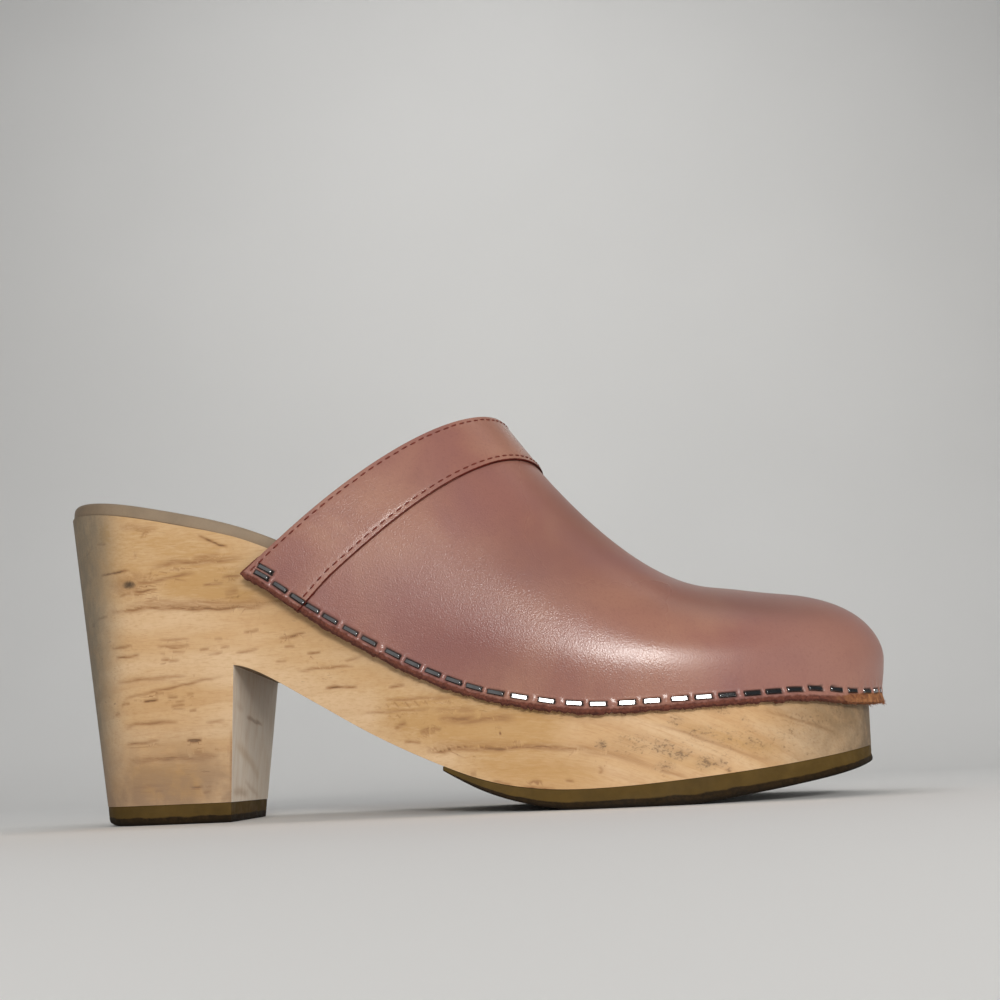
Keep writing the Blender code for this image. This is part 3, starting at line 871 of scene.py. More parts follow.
woodMarks = (  # darker streaks and dashes on the side: run of x and z, half width in mm, strength
    ((-106.0, 74.0, -84.0, 73.0, -54.0, 65.0), 8.00, 0.34),
    ((-104.0, 61.0, -80.0, 61.5, -46.0, 57.0), 6.00, 0.22),
    ((-61.3, 31.0, -61.2, 24.0, -61.0, 17.0, -60.8, 8.5), 0.60, 0.95),
    ((-26.0, 25.0, -4.0, 21.5, 24.0, 18.0), 6.00, 0.58),
    ((-6.0, 13.0, 12.0, 9.5, 32.0, 8.0), 4.00, 0.34),
    ((-56.0, 46.0, -34.0, 36.0, -16.0, 29.0), 6.00, 0.18),
    ((-94.0, 30.0, -80.0, 31.0, -66.0, 33.0), 4.00, 0.12),
    ((-94.0, 12.0, -80.0, 12.0, -68.0, 12.0), 6.00, 0.22),
    ((-98.1, 55.2, -91.1, 55.3, -84.5, 55.6, -76.4, 54.9, -66.8, 54.1, -56.9, 54.0, -50.1, 54.9), 0.80, 0.75),
    ((-94.3, 55.9, -84.5, 56.5, -76.4, 55.9, -66.8, 55.1, -56.8, 55.0, -50.9, 55.5), 1.00, 0.45),
    ((-78.8, 56.0, -70.8, 55.9, -63.6, 55.8), 0.33, 0.50),
    ((-85.2, 65.4, -82.7, 66.1, -78.7, 66.8, -72.6, 66.5, -66.6, 66.4, -59.0, 66.7), 0.75, 0.60),
    ((-73.8, 67.5, -69.8, 67.8, -65.3, 68.1), 0.54, 0.45), ((-71.8, 66.6, -66.6, 66.3), 0.47, 0.60),
    ((-100.2, 65.2, -95.5, 65.5, -90.6, 65.6), 0.33, 0.85),
    ((-89.8, 61.9, -85.2, 62.1, -81.2, 62.6, -76.3, 63.5, -72.2, 63.5), 0.50, 0.60),
    ((-90.2, 60.2, -86.9, 59.8, -82.8, 60.2), 0.33, 0.75), ((-94.2, 59.0, -90.2, 59.7), 0.33, 0.40),
    ((-86.5, 57.4, -82.8, 57.6), 0.33, 0.55), ((-70.7, 60.3, -67.1, 60.5, -64.7, 60.7), 0.39, 0.65),
    ((-65.4, 62.0, -59.9, 62.3), 0.33, 0.70), ((-64.7, 57.5, -60.7, 58.5), 0.93, 0.45),
    ((-82.8, 58.7, -76.4, 58.9, -70.7, 58.5, -62.8, 56.9, -54.8, 56.4), 1.54, 0.28),
    ((-81.2, 61.1, -74.7, 61.8, -67.4, 62.1, -60.7, 61.3), 1.31, 0.25),
    ((-71.7, 73.5, -68.5, 71.8, -65.7, 70.4, -63.3, 70.0), 0.33, 0.90),
    ((-87.6, 73.6, -86.5, 75.2, -84.2, 76.1), 0.33, 0.45),
    ((-94.0, 77.4, -88.4, 76.6, -82.6, 75.8), 0.94, 0.35), ((-100.2, 75.7, -96.7, 75.9), 1.78, 0.35),
    ((-101.3, 73.7, -97.7, 73.4), 0.33, 0.50), ((-89.3, 70.5, -89.0, 68.5), 0.33, 0.40),
    ((-84.7, 65.1, -85.2, 62.9), 0.33, 0.40), ((-106.6, 71.2, -104.2, 72.2, -102.4, 74.2), 0.33, 0.40),
    ((-102.0, 53.7, -97.6, 54.4), 0.33, 0.55), ((-103.9, 53.0, -102.5, 52.7), 0.48, 0.75),
    ((-83.0, 47.1, -76.5, 46.7, -74.1, 46.8), 0.33, 0.40), ((-59.8, 47.6, -55.4, 47.9), 0.33, 0.60),
    ((-50.3, 45.6, -44.8, 45.8), 0.33, 0.60), ((-67.7, 46.2, -65.3, 46.3), 0.33, 0.50),
    ((-83.4, 45.1, -79.0, 45.2, -74.1, 44.9), 0.33, 0.60), ((-96.8, 45.9, -90.8, 45.7), 0.33, 0.60),
    ((-95.8, 45.9, -92.9, 45.8, -90.1, 45.8), 0.33, 0.65),
    ((-95.5, 43.2, -91.9, 43.2, -87.9, 43.4), 0.33, 0.70),
    ((-80.3, 44.6, -77.1, 44.9, -74.3, 45.0), 0.33, 0.65), ((-82.5, 41.9, -79.7, 41.8), 0.33, 0.55),
    ((-80.3, 41.4, -77.1, 41.3), 0.33, 0.50), ((-71.8, 43.6, -68.9, 44.1), 0.33, 0.45),
    ((-69.6, 42.3, -65.2, 42.9), 0.33, 0.50), ((-66.1, 43.8, -63.3, 44.2), 0.33, 0.40),
    ((-95.2, 36.5, -88.6, 37.1, -84.1, 37.1, -79.7, 37.2, -75.0, 37.6), 0.50, 0.55),
    ((-93.4, 32.2, -89.3, 33.0, -82.9, 34.0, -78.2, 34.7, -73.5, 35.6, -69.1, 36.1, -65.0, 36.9), 0.33, 0.60),
    ((-93.8, 31.0, -91.0, 31.2), 0.33, 0.50), ((-87.4, 31.2, -85.1, 31.6, -82.9, 31.8), 0.33, 0.95),
    ((-80.7, 31.9, -77.6, 32.2), 0.33, 0.55), ((-75.4, 32.3, -73.2, 32.7), 0.33, 0.40),
    ((-78.6, 30.7, -75.7, 31.2), 0.33, 0.50), ((-79.8, 29.5, -75.7, 30.1), 0.33, 0.50),
    ((-74.8, 28.4, -72.6, 28.6), 0.33, 0.60), ((-95.8, 28.5, -94.1, 28.8), 0.43, 0.50),
    ((-93.2, 24.8, -89.4, 25.7, -83.6, 25.8, -77.4, 25.7), 0.55, 0.60),
    ((-70.5, 25.2, -64.9, 25.5), 0.36, 0.38), ((-92.6, 20.6, -87.8, 20.8, -82.7, 21.2), 0.33, 0.70),
    ((-75.6, 20.7, -73.7, 20.9, -71.2, 20.9), 0.33, 1.25),
    ((-92.3, 16.4, -86.9, 16.4, -81.9, 16.6, -76.9, 16.6, -70.6, 16.1, -66.6, 16.2), 0.80, 0.70),
    ((-74.7, 17.2, -70.6, 17.0, -66.6, 16.3), 0.71, 0.55), ((-73.7, 17.7, -71.2, 17.9), 0.33, 0.50),
    ((-91.3, 9.4, -86.4, 9.7, -82.0, 9.8, -79.5, 10.3), 0.48, 0.50), ((-84.5, 8.4, -82.0, 8.4), 0.33, 0.60),
    ((-74.8, 9.0, -71.1, 9.2), 0.33, 0.95), ((-71.4, 7.7, -68.9, 8.0), 0.33, 0.70),
    ((-91.3, 9.1, -83.2, 9.0, -70.8, 8.5), 2.40, 0.50), ((-91.7, 5.9, -80.1, 5.7, -67.7, 6.1), 0.89, 0.22),
    ((-93.0, 13.8, -83.2, 13.4, -73.8, 13.2), 2.09, 0.15),
    ((-50.3, 45.4, -45.9, 46.0, -42.8, 46.4), 0.33, 0.75), ((-42.9, 41.2, -39.0, 41.2), 0.33, 0.65),
    ((-62.1, 42.4, -58.6, 42.7, -55.5, 43.0), 0.33, 0.55), ((-49.0, 43.1, -45.9, 43.2), 0.33, 0.55),
    ((-58.1, 47.7, -55.2, 48.0), 0.33, 0.55), ((-51.3, 39.5, -48.2, 39.7), 0.33, 0.40),
    ((-45.6, 36.9, -38.7, 37.2, -36.0, 37.3, -30.0, 37.1), 0.33, 0.60),
    ((-39.5, 37.3, -36.5, 37.3), 0.33, 0.50), ((-33.0, 38.7, -27.8, 39.4), 0.33, 0.40),
    ((-38.3, 32.3, -34.4, 32.1, -29.3, 32.0), 0.33, 0.85), ((-21.6, 31.5, -17.0, 31.5), 0.33, 0.75),
    ((-23.0, 28.2, -17.5, 28.1, -11.3, 28.1, -4.3, 27.9), 0.33, 0.55),
    ((-28.6, 25.2, -21.8, 25.3, -14.2, 25.4, -9.3, 25.4), 0.37, 0.45),
    ((-20.2, 20.8, -18.5, 21.9, -16.8, 22.6), 0.65, 0.55),
    ((-14.0, 20.0, -11.1, 20.5, -7.8, 20.6), 0.33, 0.65), ((-13.6, 19.6, -9.4, 19.5), 0.33, 0.65),
    ((-17.8, 17.7, -13.2, 17.3), 0.40, 0.60),
    ((-12.4, 15.5, -7.5, 15.2, -3.5, 15.6, 1.0, 15.6), 0.80, 0.75),
    ((-9.3, 22.6, -4.0, 22.5, 1.2, 22.5), 0.88, 0.65), ((-4.4, 24.7, 0.5, 24.1), 0.60, 0.45),
    ((-61.5, 53.6, -53.5, 54.8, -47.8, 55.2), 0.68, 0.60),
    ((-8.8, 22.3, -2.5, 22.0, 3.7, 22.1, 6.6, 22.3, 10.9, 21.5), 0.94, 0.60),
    ((4.8, 22.4, 8.4, 22.1), 0.58, 0.45), ((-10.8, 27.9, -5.3, 27.7), 0.37, 0.45),
    ((-10.9, 25.3, -4.2, 25.0, 1.3, 24.7), 0.51, 0.38), ((-11.0, 20.6, -8.1, 20.4), 0.33, 0.60),
    ((-11.1, 19.5, -9.6, 19.5), 0.33, 0.60),
    ((-11.2, 15.4, -5.7, 15.3, -0.2, 15.3, 5.2, 14.8, 11.3, 15.2, 15.9, 14.9, 21.2, 14.2, 26.5, 13.9,
      31.7, 12.7), 0.71, 0.70),
    ((-11.1, 16.5, -0.2, 16.3, 11.3, 15.7), 0.86, 0.30), ((9.2, 16.1, 11.4, 16.2), 0.33, 0.70),
    ((6.1, 18.4, 6.7, 18.5), 0.33, 0.90), ((24.7, 13.3, 33.4, 12.3, 38.5, 10.7, 43.9, 7.8), 0.77, 0.35),
    ((-1.5, 9.3, 0.3, 9.2), 0.64, 0.45), ((13.4, 6.8, 15.7, 6.9), 0.33, 0.55),
    ((21.5, 6.7, 23.7, 6.5), 0.33, 0.50), ((29.7, 10.0, 30.5, 8.9, 29.6, 7.9), 0.33, 0.50),
    ((42.7, 19.2, 51.4, 16.7, 58.2, 13.7, 64.1, 11.4, 69.1, 9.8, 72.4, 9.3), 0.43, 0.38),
    ((48.0, 19.4, 54.9, 16.7, 62.2, 14.2, 69.4, 12.2, 75.7, 10.9), 1.50, 0.30),
    ((70.1, 21.6, 75.6, 19.8, 81.5, 18.4, 86.8, 16.5, 91.5, 14.9), 0.48, 0.48),
    ((71.3, 22.2, 76.9, 20.7, 83.7, 19.1), 0.95, 0.22), ((41.9, 8.6, 47.0, 7.3, 50.8, 6.4), 0.42, 0.45),
    ((44.2, 11.9, 50.7, 9.9, 58.7, 7.9), 1.40, 0.25),
    ((-63.4, 23.7, -63.5, 17.9, -63.7, 12.1, -63.9, 6.4), 0.35, 0.55),
    ((4.0, 7.4, 6.5, 6.8, 9.0, 6.2), 0.33, 0.60),
    ((10.5, 5.9, 12.6, 5.5, 16.0, 5.1, 19.3, 4.9), 0.33, 0.80),
)
breastMarks = (  # the same on the front of the heel: run of y and z
    ((-10.3, 27.3, -1.0, 26.4, 9.8, 25.8), 0.6, 0.75), ((-21.1, 30.0, -12.3, 28.5), 1.2, 0.30),
    ((-21.0, 20.0, -11.7, 17.9, -0.2, 14.7, 9.3, 10.3), 1.6, 0.45),
    ((-20.0, 7.4, -12.7, 7.4, -2.0, 6.6), 1.2, 0.50),
    ((-8.2, 10.3, 9.5, 5.7), 0.9, 0.40), ((-19.0, 26.0, -6.0, 21.0), 2.2, 0.18),
)
woodSmudges = (  # dark specks at the toe: x, z and reach in mm, strength
    (30.8, 14.7, 2.4, 1.7, 0.90), (36.5, 16.0, 3.2, 1.4, 0.50), (40.3, 15.8, 2.7, 1.4, 0.50),
    (40.1, 13.4, 3.2, 1.7, 0.50), (49.1, 19.6, 3.2, 2.1, 0.55), (54.9, 16.6, 6.3, 2.7, 0.45),
    (61.6, 14.9, 1.4, 1.0, 0.60), (67.0, 14.0, 3.2, 1.8, 0.70), (70.2, 13.0, 2.1, 1.0, 0.60),
    (75.0, 11.8, 2.1, 1.4, 0.50), (60.8, 21.5, 3.8, 1.7, 0.45), (65.7, 19.6, 1.4, 1.0, 0.50),
    (45.1, 13.5, 4.8, 2.7, 0.70), (49.1, 11.7, 4.8, 2.1, 0.80), (55.3, 9.4, 3.8, 2.1, 0.90),
    (58.9, 9.4, 2.7, 1.8, 0.85), (60.8, 7.6, 1.2, 0.9, 1.00), (45.4, 9.1, 4.2, 2.1, 0.60),
    (81.7, 10.7, 0.9, 0.8, 0.60), (91.9, 11.3, 1.8, 1.0, 0.80), (88.1, 18.5, 0.8, 0.6, 0.60),
    (94.2, 19.2, 0.8, 0.6, 0.60), (92.4, 20.5, 2.8, 2.2, 0.60), (78.0, 15.6, 2.7, 1.4, 0.45),
    (68.0, 14.0, 42.0, 8.0, 0.22), (38.0, 14.5, 12.0, 4.0, 0.35), (86.0, 19.5, 16.0, 5.0, 0.30),
)


def paleWood():
    look = woodPiece
    mat = Shade("paleWood", Specular_IOR_Level=0.30)
    coords = mat.coords
    grain, depth = mat.painted("grainSpace", "Vector"), mat.painted("ringDepth")
    broad, smudge, gap = mat.painted("woodMark"), mat.painted("woodSmudge"), mat.painted("streakGap")
    thin = mat.sums("EXPONENT", mat.times(mat.times(gap, gap), -1.0))
    thin = mat.times(thin, mat.painted("streakDepth"))
    axes = mat.axes(coords)
    wobble = mat.drawn(grain, (0.010, 0.045, 0.045), 3, 0.5)
    depth = mat.timesPlus(mat.sums("SUBTRACT", wobble, 0.5), 5.0, depth)
    knotReach = mat.spot(coords, look["knot"], (15 * mm, 12 * mm, 8 * mm))
    depth = mat.timesPlus(knotReach, 2.6, depth)
    fineWave = mat.drawn(grain, (0.03, 0.35, 0.35), 3, 0.6)
    depth = mat.timesPlus(fineWave, 1.1, depth)

    saw = mat.sums("FRACT", mat.sums("DIVIDE", depth, look["ringStep"]))
    ringLine = mat.ramp(saw, [(0.0, 0.10), (0.12, 0.0), (0.55, 0.25), (0.86, 0.85), (0.94, 1.0), (1.0, 0.12)])
    ringStrength = mat.fade(mat.drawn(grain, (0.008, 0.06, 0.06), 2), 0.35, 0.70, 0.05, 0.32)
    bands = mat.fade(mat.drawn(grain, (0.012, 0.08, 0.08), 3, 0.6), 0.36, 0.68)
    mat.tint = mat.mix(bands, look["pale"], look["honey"])
    mat.lay(mat.times(ringLine, ringStrength), look["latewood"])
    dash = mat.drawn(grain, (0.20, 1.5, 1.5), 2, 0.45)
    where = mat.fade(mat.drawn(grain, (0.022, 0.09, 0.09), 2, shift=3), 0.46, 0.66)
    flecks = mat.times(mat.fade(dash, 0.66, 0.76), where)
    mat.lay(mat.times(flecks, 0.6), look["fleck"])
    pores = mat.drawn(grain, (0.16, 2.6, 2.6), 3, 0.6)
    mat.lay(mat.fade(pores, 0.46, 0.78, 0.0, 0.42), look["latewood"])
    mottle = mat.noise(mat.stretch(coords, (0.6, 1, 1)), 1100, 3, 0.6)
    mat.lay(mat.fade(mottle, 0.42, 0.75, 0.0, 0.22), look["latewood"])

    fibres = mat.drawn(grain, (0.12, 1.6, 1.6), 4, 0.65, shift=5)
    warm = mat.times(broad, mat.fade(fibres, 0.28, 0.68, 1.0, 2.0))
    mat.lay(mat.sums("MINIMUM", warm, 0.70), look["amber"])
    torn = mat.times(thin, mat.fade(fibres, 0.28, 0.68, 0.65, 1.35))
    mat.lay(mat.sums("MINIMUM", torn, 0.85), look["streak"])
    mat.lay(mat.fade(torn, 0.65, 1.30, 0.0, 0.85), look["fleck"])
    knotCore = mat.spot(coords, look["knot"], (3.6 * mm, 6 * mm, 2.0 * mm))
    ragged = mat.noise(coords, 420, 4, 0.65, 0.8)
    mat.lay(mat.fade(mat.times(knotReach, ragged), 0.20, 0.55, 0.0, 0.50), look["streak"])
    mat.lay(mat.fade(mat.times(knotCore, ragged), 0.08, 0.55, 0.0, 0.90), look["knotDark"])

    facing = mat.axes(mat.facing)
    # the front of the heel paler: partly its pale end grain, partly painted light on the face turned to the
    # light
    breast = mat.times(mat.fade(facing[0], 0.6, 0.9), mat.fade(axes[0], 0.0, -0.03))
    breast = mat.times(breast, mat.fade(mat.plus(broad, thin), 0.0, 0.7, 1.0, 0.45))
    sawn = mat.noise(mat.stretch(coords, (1, 1, 0.25), rotation=(0.25, 0, 0)), 420, 4, 0.65)
    mat.lay(mat.times(breast, mat.fade(sawn, 0.25, 0.65, 0.60, 0.95)), look["endGrainAndLight"])

    # the underside of the arch darker: partly dirt, partly painted shade
    beneath = mat.times(mat.fade(facing[2], -0.35, -0.75), mat.fade(axes[2], 0.004, 0.009))
    mat.lay(mat.times(beneath, 0.85), look["arch"])
    blotches = mat.noise(coords, 130, 4, 0.62, 0.4)
    dustAndShade = mat.noise(mat.stretch(coords, (1, 1, 0.5)), 420, 5, 0.65)
    # the back of the heel greyer and darker: partly dust, partly painted shade where it turns away from the
    # light
    back = mat.times(mat.fade(axes[0], -0.0905, -0.104), mat.fade(dustAndShade, 0.25, 0.70, 0.80, 1.0))
    mat.lay(mat.times(back, 0.90), look["grey"])
    # darker brown towards the bottom of the heel, broken up by noise
    low = mat.times(mat.fade(axes[2], 0.030, 0.004), mat.fade(axes[0], -0.035, -0.055))
    low = mat.times(low, mat.fade(facing[0], 0.6, 0.9, 1.0, 0.1))
    mat.lay(mat.times(low, mat.fade(blotches, 0.30, 0.62, 0.45, 0.95)), look["lowBrown"])
    # the toe end darker: partly dirt, partly painted shade
    end = mat.times(mat.fade(axes[0], 0.060, 0.104), mat.fade(blotches, 0.28, 0.62, 0.70, 1.0))
    mat.lay(mat.times(end, 0.92), look["toeEnd"])
    specks = mat.noise(mat.stretch(coords, (0.8, 1, 1.2)), 1350, 4, 0.65)
    specks = mat.fade(mat.timesPlus(smudge, 0.22, specks), 0.58, 0.80)
    specks = mat.times(specks, mat.fade(smudge, 0.02, 0.30, 0.0, 0.72))
    mat.lay(mat.times(smudge, 0.30), look["dirt"])
    mat.lay(specks, look["dirt"])
    mat.put("Base Color", mat.tint)
    mat.put("Roughness", mat.fade(pores, 0.3, 0.8, 0.52, 0.68))
    height = mat.timesPlus(mat.plus(flecks, torn), -1.2, mat.times(pores, 0.8))
    mat.relief(height, 0.10 * mm, 0.5)
    return mat.material


def longestEdges(obj):  # of each face
    mesh, points = obj.data, vertexPoints(obj)
    corner = np.zeros(len(mesh.loops), int)
    start, count = np.zeros(len(mesh.polygons), int), np.zeros(len(mesh.polygons), int)
    mesh.loops.foreach_get("vertex_index", corner)
    mesh.polygons.foreach_get("loop_start", start)
    mesh.polygons.foreach_get("loop_total", count)
    onward = np.arange(len(corner)) + 1
    onward[start + count - 1] = start
    return np.maximum.reduceat(np.linalg.norm(points[corner] - points[corner[onward]], axis=1), start)


def strokeFields(across, up, strokes):  # gap to the nearest thin streak in widths, its depth, the broad shade
    up = up + 0.12 * np.sin(across * 0.8 + up)
    gap, depth, shade = np.full(len(across), 9.0), np.zeros(len(across)), np.zeros(len(across))
    below = []
    for line, width, strength in sorted(strokes, key=lambda stroke: np.mean(stroke[0][1::2])):
        line = np.reshape(line, (-1, 2))
        sense = 1.0
        for left, right, top, other in below:  # neighbours measure in opposite senses, so no line is between
            if left < line[:, 0].max() + 2 and right > line[:, 0].min() - 2 and top > line[:, 1].min() - 4:
                sense = -other
        if width <= woodPiece["thinTo"]:
            below.append((line[:, 0].min(), line[:, 0].max(), line[:, 1].max(), sense))
        run = runAlong(line)
        low, high = line.min(axis=0) - 8 * width, line.max(axis=0) + 8 * width
        near = np.flatnonzero((across > low[0]) & (across < high[0]) & (up > low[1]) & (up < high[1]))
        best, side, reached = np.full(len(near), 1e3), np.ones(len(near)), np.zeros(len(near))
        for a, b, begin in zip(line[:-1], line[1:], run):
            step, beside, above = b - a, across[near] - a[0], up[near] - a[1]
            part = np.clip((beside * step[0] + above * step[1]) / (step @ step), 0, 1)
            beside, above = beside - part * step[0], above - part * step[1]
            apart = np.hypot(beside, above * np.where(above > 0, 0.8, 1.1))
            closer = apart < best
            side = np.where(closer, np.sign(step[0] * above - step[1] * beside), side)
            reached = np.where(closer, (begin + part * np.hypot(*step)) / run[-1], reached)
            best = np.minimum(best, apart)
        width = max(width, woodPiece["leastWidth"])
        best, taper = best / width, strength * (1 - np.abs(2 * reached - 1) ** 4)
        if width > woodPiece["thinTo"]:
            shade[near] += taper * np.exp(-best ** 2)
            continue
        closer = best < np.abs(gap[near])
        gap[near] = np.where(closer, sense * side * best, gap[near])
        depth[near] = np.where(closer, woodPiece["gain"] * taper * smoothStep(best, 3.2, 1.8), depth[near])
    return gap, depth, shade


finerSteps = [woodPiece["fineStep"]] * woodPiece["fineRounds"]
finerSteps += [woodPiece["streakStep"]] * woodPiece["streakRounds"]
wood = copyOfNode("wood_sole", "woodSole")
wood.data.materials.append(paleWood())
roundOff(wood, woodPiece)
for step in finerSteps:  # a finer mesh on the outer side and the heel's front, finest along the streaks
    facing = np.array([face.normal for face in wood.data.polygons])
    x, y, z = np.array([face.center for face in wood.data.polygons]).T / mm
    beside = facing[:, 1] < woodPiece["sideFacing"]
    before = (facing[:, 0] > woodPiece["frontFacing"]) & (x < woodPiece["frontX"])
    if step == woodPiece["streakStep"]:
        beside &= np.abs(strokeFields(x, z, woodMarks)[0]) < woodPiece["streakReach"]
        before &= np.abs(strokeFields(y, z, breastMarks)[0]) < woodPiece["streakReach"]
    refineFaces(wood, (beside | before) & (longestEdges(wood) > step))
facing = vertexNormals(wood)
x, y, z = (vertexPoints(wood) / mm).T
past = x - woodPiece["bendX"]
fall = woodPiece["toeSlope"] * (past + np.sqrt(past ** 2 + woodPiece["bendSoft"] ** 2)) / 2
heartY, heartZ = woodPiece["heart"]
paintValue(wood, "grainSpace", np.stack([x, y, z + fall], axis=1))
paintValue(wood, "ringDepth", np.hypot(y - heartY, z + fall - heartZ))
sideways = smoothStep(np.abs(facing[:, 1]), 0.15, 0.40)
forwards = smoothStep(facing[:, 0], 0.5, 0.8) * (x < woodPiece["frontX"])
atFront, onSide, onFront = forwards > 0.5, strokeFields(x, z, woodMarks), strokeFields(y, z, breastMarks)
paintValue(wood, "streakGap", np.where(atFront, onFront[0], onSide[0]))
paintValue(wood, "streakDepth", np.where(atFront, onFront[1] * forwards, onSide[1] * sideways * (y < 0)))
paintValue(wood, "woodMark", np.where(atFront, onFront[2] * forwards, onSide[2] * sideways))
smudge = np.zeros(len(x))
for atX, atZ, reachX, reachZ, strength in woodSmudges:
    away = np.hypot((x - atX) / reachX, (z - atZ) / reachZ)
    smudge = np.maximum(smudge, strength * smoothStep(away, 1.0, 0.2))
paintValue(wood, "woodSmudge", smudge * sideways * (y < 0))
finishPiece(wood, "wood_sole", "wood_sole")


# rubber under heel and forefoot

rubberPiece = {
    "edgeRound": 0.30 * mm, "segments": 2, "smoothing": 2, "sharp": 40, "glueUp": 0.36 * mm,
    "amber": (0.098, 0.059, 0.0155), "olive": (0.066, 0.040, 0.0105), "sootAndShade": (0.006, 0.0035, 0.0015),
    "worn": (0.024, 0.013, 0.0050), "stripFrom": 0.40, "lump": 0.175 * mm, "tornOver": (101 * mm, 107 * mm),
}


def amberRubber(name):
    look = rubberPiece
    mat = Shade(name, Specular_IOR_Level=0.12)
    coords = mat.coords
    level = mat.painted("rubberLevel")
    body = mat.noise(coords, 160, 4, 0.6)
    mat.tint = mat.ramp(body, [(0.3, look["olive"]), (0.7, look["amber"])])
    blotches = mat.noise(mat.stretch(coords, (0.4, 1, 1.2)), 240, 5, 0.65, 0.4)
    wavy = mat.timesPlus(mat.sums("SUBTRACT", blotches, 0.5), 0.35, level)
    lower = mat.fade(wavy, look["stripFrom"] + 0.05, look["stripFrom"] - 0.05)
    crumbs = mat.noise(coords, 700, 5, 0.7, 0.3)
    mat.lay(mat.times(lower, 0.92), mat.ramp(crumbs, [(0.35, look["sootAndShade"]), (0.68, look["worn"])]))
    # painted shade, darkest at the very bottom of the rubber's side
    mat.lay(mat.fade(wavy, 0.24, 0.05, 0.0, 0.9), look["sootAndShade"])
    facing = mat.axes(mat.facing)
    # the underside darker: partly dirt, partly painted shade
    under = mat.fade(facing[2], -0.45, -0.85)
    grit = mat.noise(coords, 520, 5, 0.7, 0.3)
    mat.lay(mat.times(under, 0.9), mat.ramp(grit, [(0.35, look["sootAndShade"]), (0.70, look["worn"])]))
    mat.put("Base Color", mat.tint)
    mat.put("Roughness", mat.fade(blotches, 0.3, 0.7, 0.62, 0.85))
    height = mat.between(lower, mat.times(body, 0.25), mat.times(crumbs, 1.4))
    height = mat.between(under, height, mat.times(grit, 2.2))
    mat.relief(height, 0.3 * mm, 0.55)
    return mat.material


def levelInside(obj, points):  # 0 at the lower face of a flat piece and 1 at its upper face
    base = vertexPoints(obj)
    order = np.unique(np.round(base[:, 0] / mm, 1))
    slices = [base[np.abs(base[:, 0] / mm - at) < 0.8, 2] for at in order]
    bottom = np.interp(points[:, 0] / mm, order, [heights.min() for heights in slices])
    top = np.interp(points[:, 0] / mm, order, [heights.max() for heights in slices])
    return (points[:, 2] - bottom) / np.maximum(top - bottom, 0.3 * mm)


for node, name in (("forefoot_outsole", "forefootTread"), ("heel_lift", "heelLiftRubber")):
    rubber = copyOfNode(node, name)
    plain = rubber.copy()
    plain.data = rubber.data.copy()
    rubber.data.materials.append(amberRubber(name + "Rubber"))
    roundOff(rubber, rubberPiece)
    points = vertexPoints(rubber)
    level = levelInside(plain, points)
    bpy.data.objects.remove(plain)
    points[:, 2] += rubberPiece["glueUp"] * smoothStep(level, 0.5, 0.9)  # glued to the wood
    torn = smoothStep(points[:, 0], *rubberPiece["tornOver"]) * smoothStep(level, 0.75, 0.45)  # at the toe
    wave = np.sin(points[:, 1] / mm * 2.1) * np.sin(points[:, 1] / mm * 0.8 + 1.0) + np.sin(level * 9.0)
    points += vertexNormals(rubber) * (torn * wave * rubberPiece["lump"])[:, None]
    setPoints(rubber, points)
    paintValue(rubber, "rubberLevel", level)
    finishPiece(rubber, node, node)


# padded insole

insolePiece = {
    "edgeRound": 0.4 * mm, "segments": 2, "smoothing": 2, "sharp": 40, "fill": 0.85, "glueDown": 0.32 * mm,
    "taupe": (0.250, 0.184, 0.120), "deep": (0.175, 0.126, 0.083), "foot": (0.135, 0.095, 0.068),
}


def taupeLeather():
    look = insolePiece
    mat = Shade("taupeLeather", Specular_IOR_Level=0.45)
    coords = mat.coords
    clouds = mat.noise(coords, 55, 4, 0.6)
    mat.tint = mat.ramp(clouds, [(0.3, look["deep"]), (0.62, look["taupe"])])
    heel = mat.spot(coords, (-0.078, 0.0, 0.083), (0.034, 0.024, 0.020))
    mat.lay(mat.times(heel, 0.45), look["foot"])
    fine = mat.noise(coords, 900, 4, 0.65)
    mat.lay(mat.fade(fine, 0.5, 0.8, 0.0, 0.3), look["deep"])
    mat.put("Base Color", mat.tint)
    mat.put("Roughness", mat.fade(clouds, 0.3, 0.7, 0.50, 0.62))
    grain = mat.timesPlus(mat.cells(coords, 1300), 0.5, mat.noise(coords, 500, 4, 0.6))
    mat.relief(grain, 0.10 * mm, 0.5)
    return mat.material


insole = copyOfNode("insole", "insolePad")
insole.data.materials.append(taupeLeather())
roundOff(insole, insolePiece)
points = vertexPoints(insole)
downwards = smoothStep(-vertexNormals(insole)[:, 2], -0.3, 0.6)
points[:, 2] -= insolePiece["glueDown"] * downwards  # glued to the wood
setPoints(insole, points)
finishPiece(insole, "insole", "insole")


# floor, light and camera

stagePiece = {
    "floorTint": (0.80, 0.795, 0.78), "floorPale": (0.82, 0.815, 0.80),
    "half": 3.0, "backY": 1.1, "wall": 1.6, "sweep": 0.7,   # metres
    "sky": (0.93, 0.96, 1.0, 1), "skyStrength": 0.11,
}

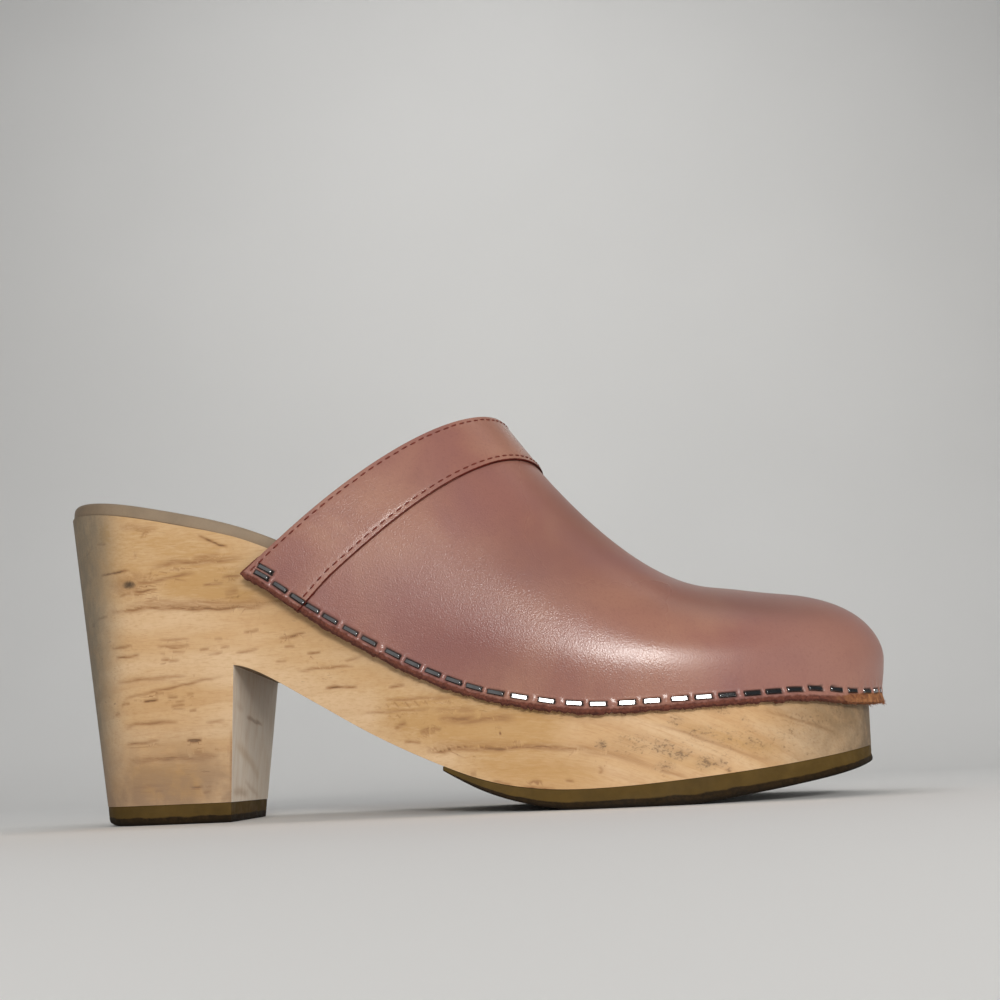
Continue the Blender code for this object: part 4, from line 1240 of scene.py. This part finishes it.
bpy.ops.object.select_all(action="DESELECT")
bpy.ops.mesh.primitive_plane_add(size=2)
floor = bpy.context.active_object
floor.name = "studioFloor"
bpy.ops.object.mode_set(mode="EDIT")
bpy.ops.transform.resize(value=(stagePiece["half"], (stagePiece["half"] + stagePiece["backY"]) / 2, 1))
bpy.ops.transform.translate(value=(0, (stagePiece["backY"] - stagePiece["half"]) / 2, 0))
leaveEdit()
atBack = vertexPoints(floor)[:, 1] > 0
editPart(floor, "edges", [all(atBack[v] for v in edge.vertices) for edge in floor.data.edges])
bpy.ops.mesh.extrude_region_move(TRANSFORM_OT_translate={"value": (0, 0, stagePiece["wall"])})
leaveEdit()
points = vertexPoints(floor)
inCorner = (points[:, 1] > 0) & (np.abs(points[:, 2]) < 1e-6)
editPart(floor, "edges", [all(inCorner[v] for v in edge.vertices) for edge in floor.data.edges])
bpy.ops.mesh.bevel(offset=stagePiece["sweep"], segments=16, affect="EDGES")
leaveEdit()
bpy.ops.object.shade_smooth()
floorShade = Shade("paleFloor", Roughness=0.9, Specular_IOR_Level=0.2)
mottle = floorShade.fade(floorShade.noise(floorShade.coords, 3, 2), 0.3, 0.7)
floorShade.put("Base Color", floorShade.mix(mottle, stagePiece["floorTint"], stagePiece["floorPale"]))
floor.data.materials.append(floorShade.material)

lightRig = (  # name, place, aim, width, height, watts, tint
    ("keyLight", (0.15, -1.15, 0.335), (0.0, 0.0, 0.045), 0.32, 0.09, 5.3, (1.0, 0.985, 0.96)),
    ("stripLight", (0.145, -1.17, 0.335), (0.0, 0.0, 0.045), 0.71, 0.09, 3.8, (1.0, 0.97, 0.93)),
    ("softFill", (-0.45, -1.20, 1.00), (0.0, 0.0, 0.045), 1.60, 1.20, 2.5, (1.0, 0.99, 0.97)),
    ("sideFill", (0.88, -0.76, 0.18), (0.0, 0.0, 0.045), 0.50, 0.50, 4.4, (1.0, 0.99, 0.97)),
    ("topFill", (0.15, -0.10, 1.40), (0.0, 0.0, 0.045), 1.60, 1.60, 1.2, (0.97, 0.98, 1.0)),
    ("backFill", (0.0, 0.15, 1.35), (0.0, 1.10, 0.30), 1.20, 0.60, 4.4, (1.0, 1.0, 1.0)),
)
for name, place, aim, width, height, watts, tint in lightRig:
    bpy.ops.object.light_add(type="AREA", location=place)
    lamp = bpy.context.active_object
    lamp.name = name
    lamp.data.shape = "RECTANGLE"
    lamp.data.size, lamp.data.size_y, lamp.data.energy, lamp.data.color = width, height, watts, tint
    lamp.rotation_euler = (Vector(aim) - Vector(place)).to_track_quat("-Z", "Y").to_euler()
bpy.data.objects["sideFill"].visible_glossy = False  # no second glint on the toe's staples

world = bpy.data.worlds.new("studioWorld")
bpy.context.scene.world = world
world.use_nodes = True
sky = world.node_tree.nodes["Background"].inputs
sky["Color"].default_value, sky["Strength"].default_value = stagePiece["sky"], stagePiece["skyStrength"]
bpy.context.scene.view_settings.view_transform = "Standard"

cameraRig = {
    "place": (7.85 * mm, -288.6 * mm, 8.5 * mm),
    "ahead": (0.004, 0.964, 0.266), "right": (0.999, 0.007, -0.043),
    "lens": 36.0, "sensor": 36.0, "near": 0.004, "far": 30,
}
bpy.ops.object.camera_add(location=cameraRig["place"])
camera = bpy.context.active_object
ahead = Vector(cameraRig["ahead"]).normalized()
right = Vector(cameraRig["right"])
right = (right - ahead * right.dot(ahead)).normalized()
upward = right.cross(ahead)
camera.rotation_euler = Matrix((right, upward, -ahead)).transposed().to_euler()
camera.data.lens, camera.data.sensor_width = cameraRig["lens"], cameraRig["sensor"]
camera.data.clip_start, camera.data.clip_end = cameraRig["near"], cameraRig["far"]
bpy.context.scene.camera = camera
print("stage, lights and camera set")
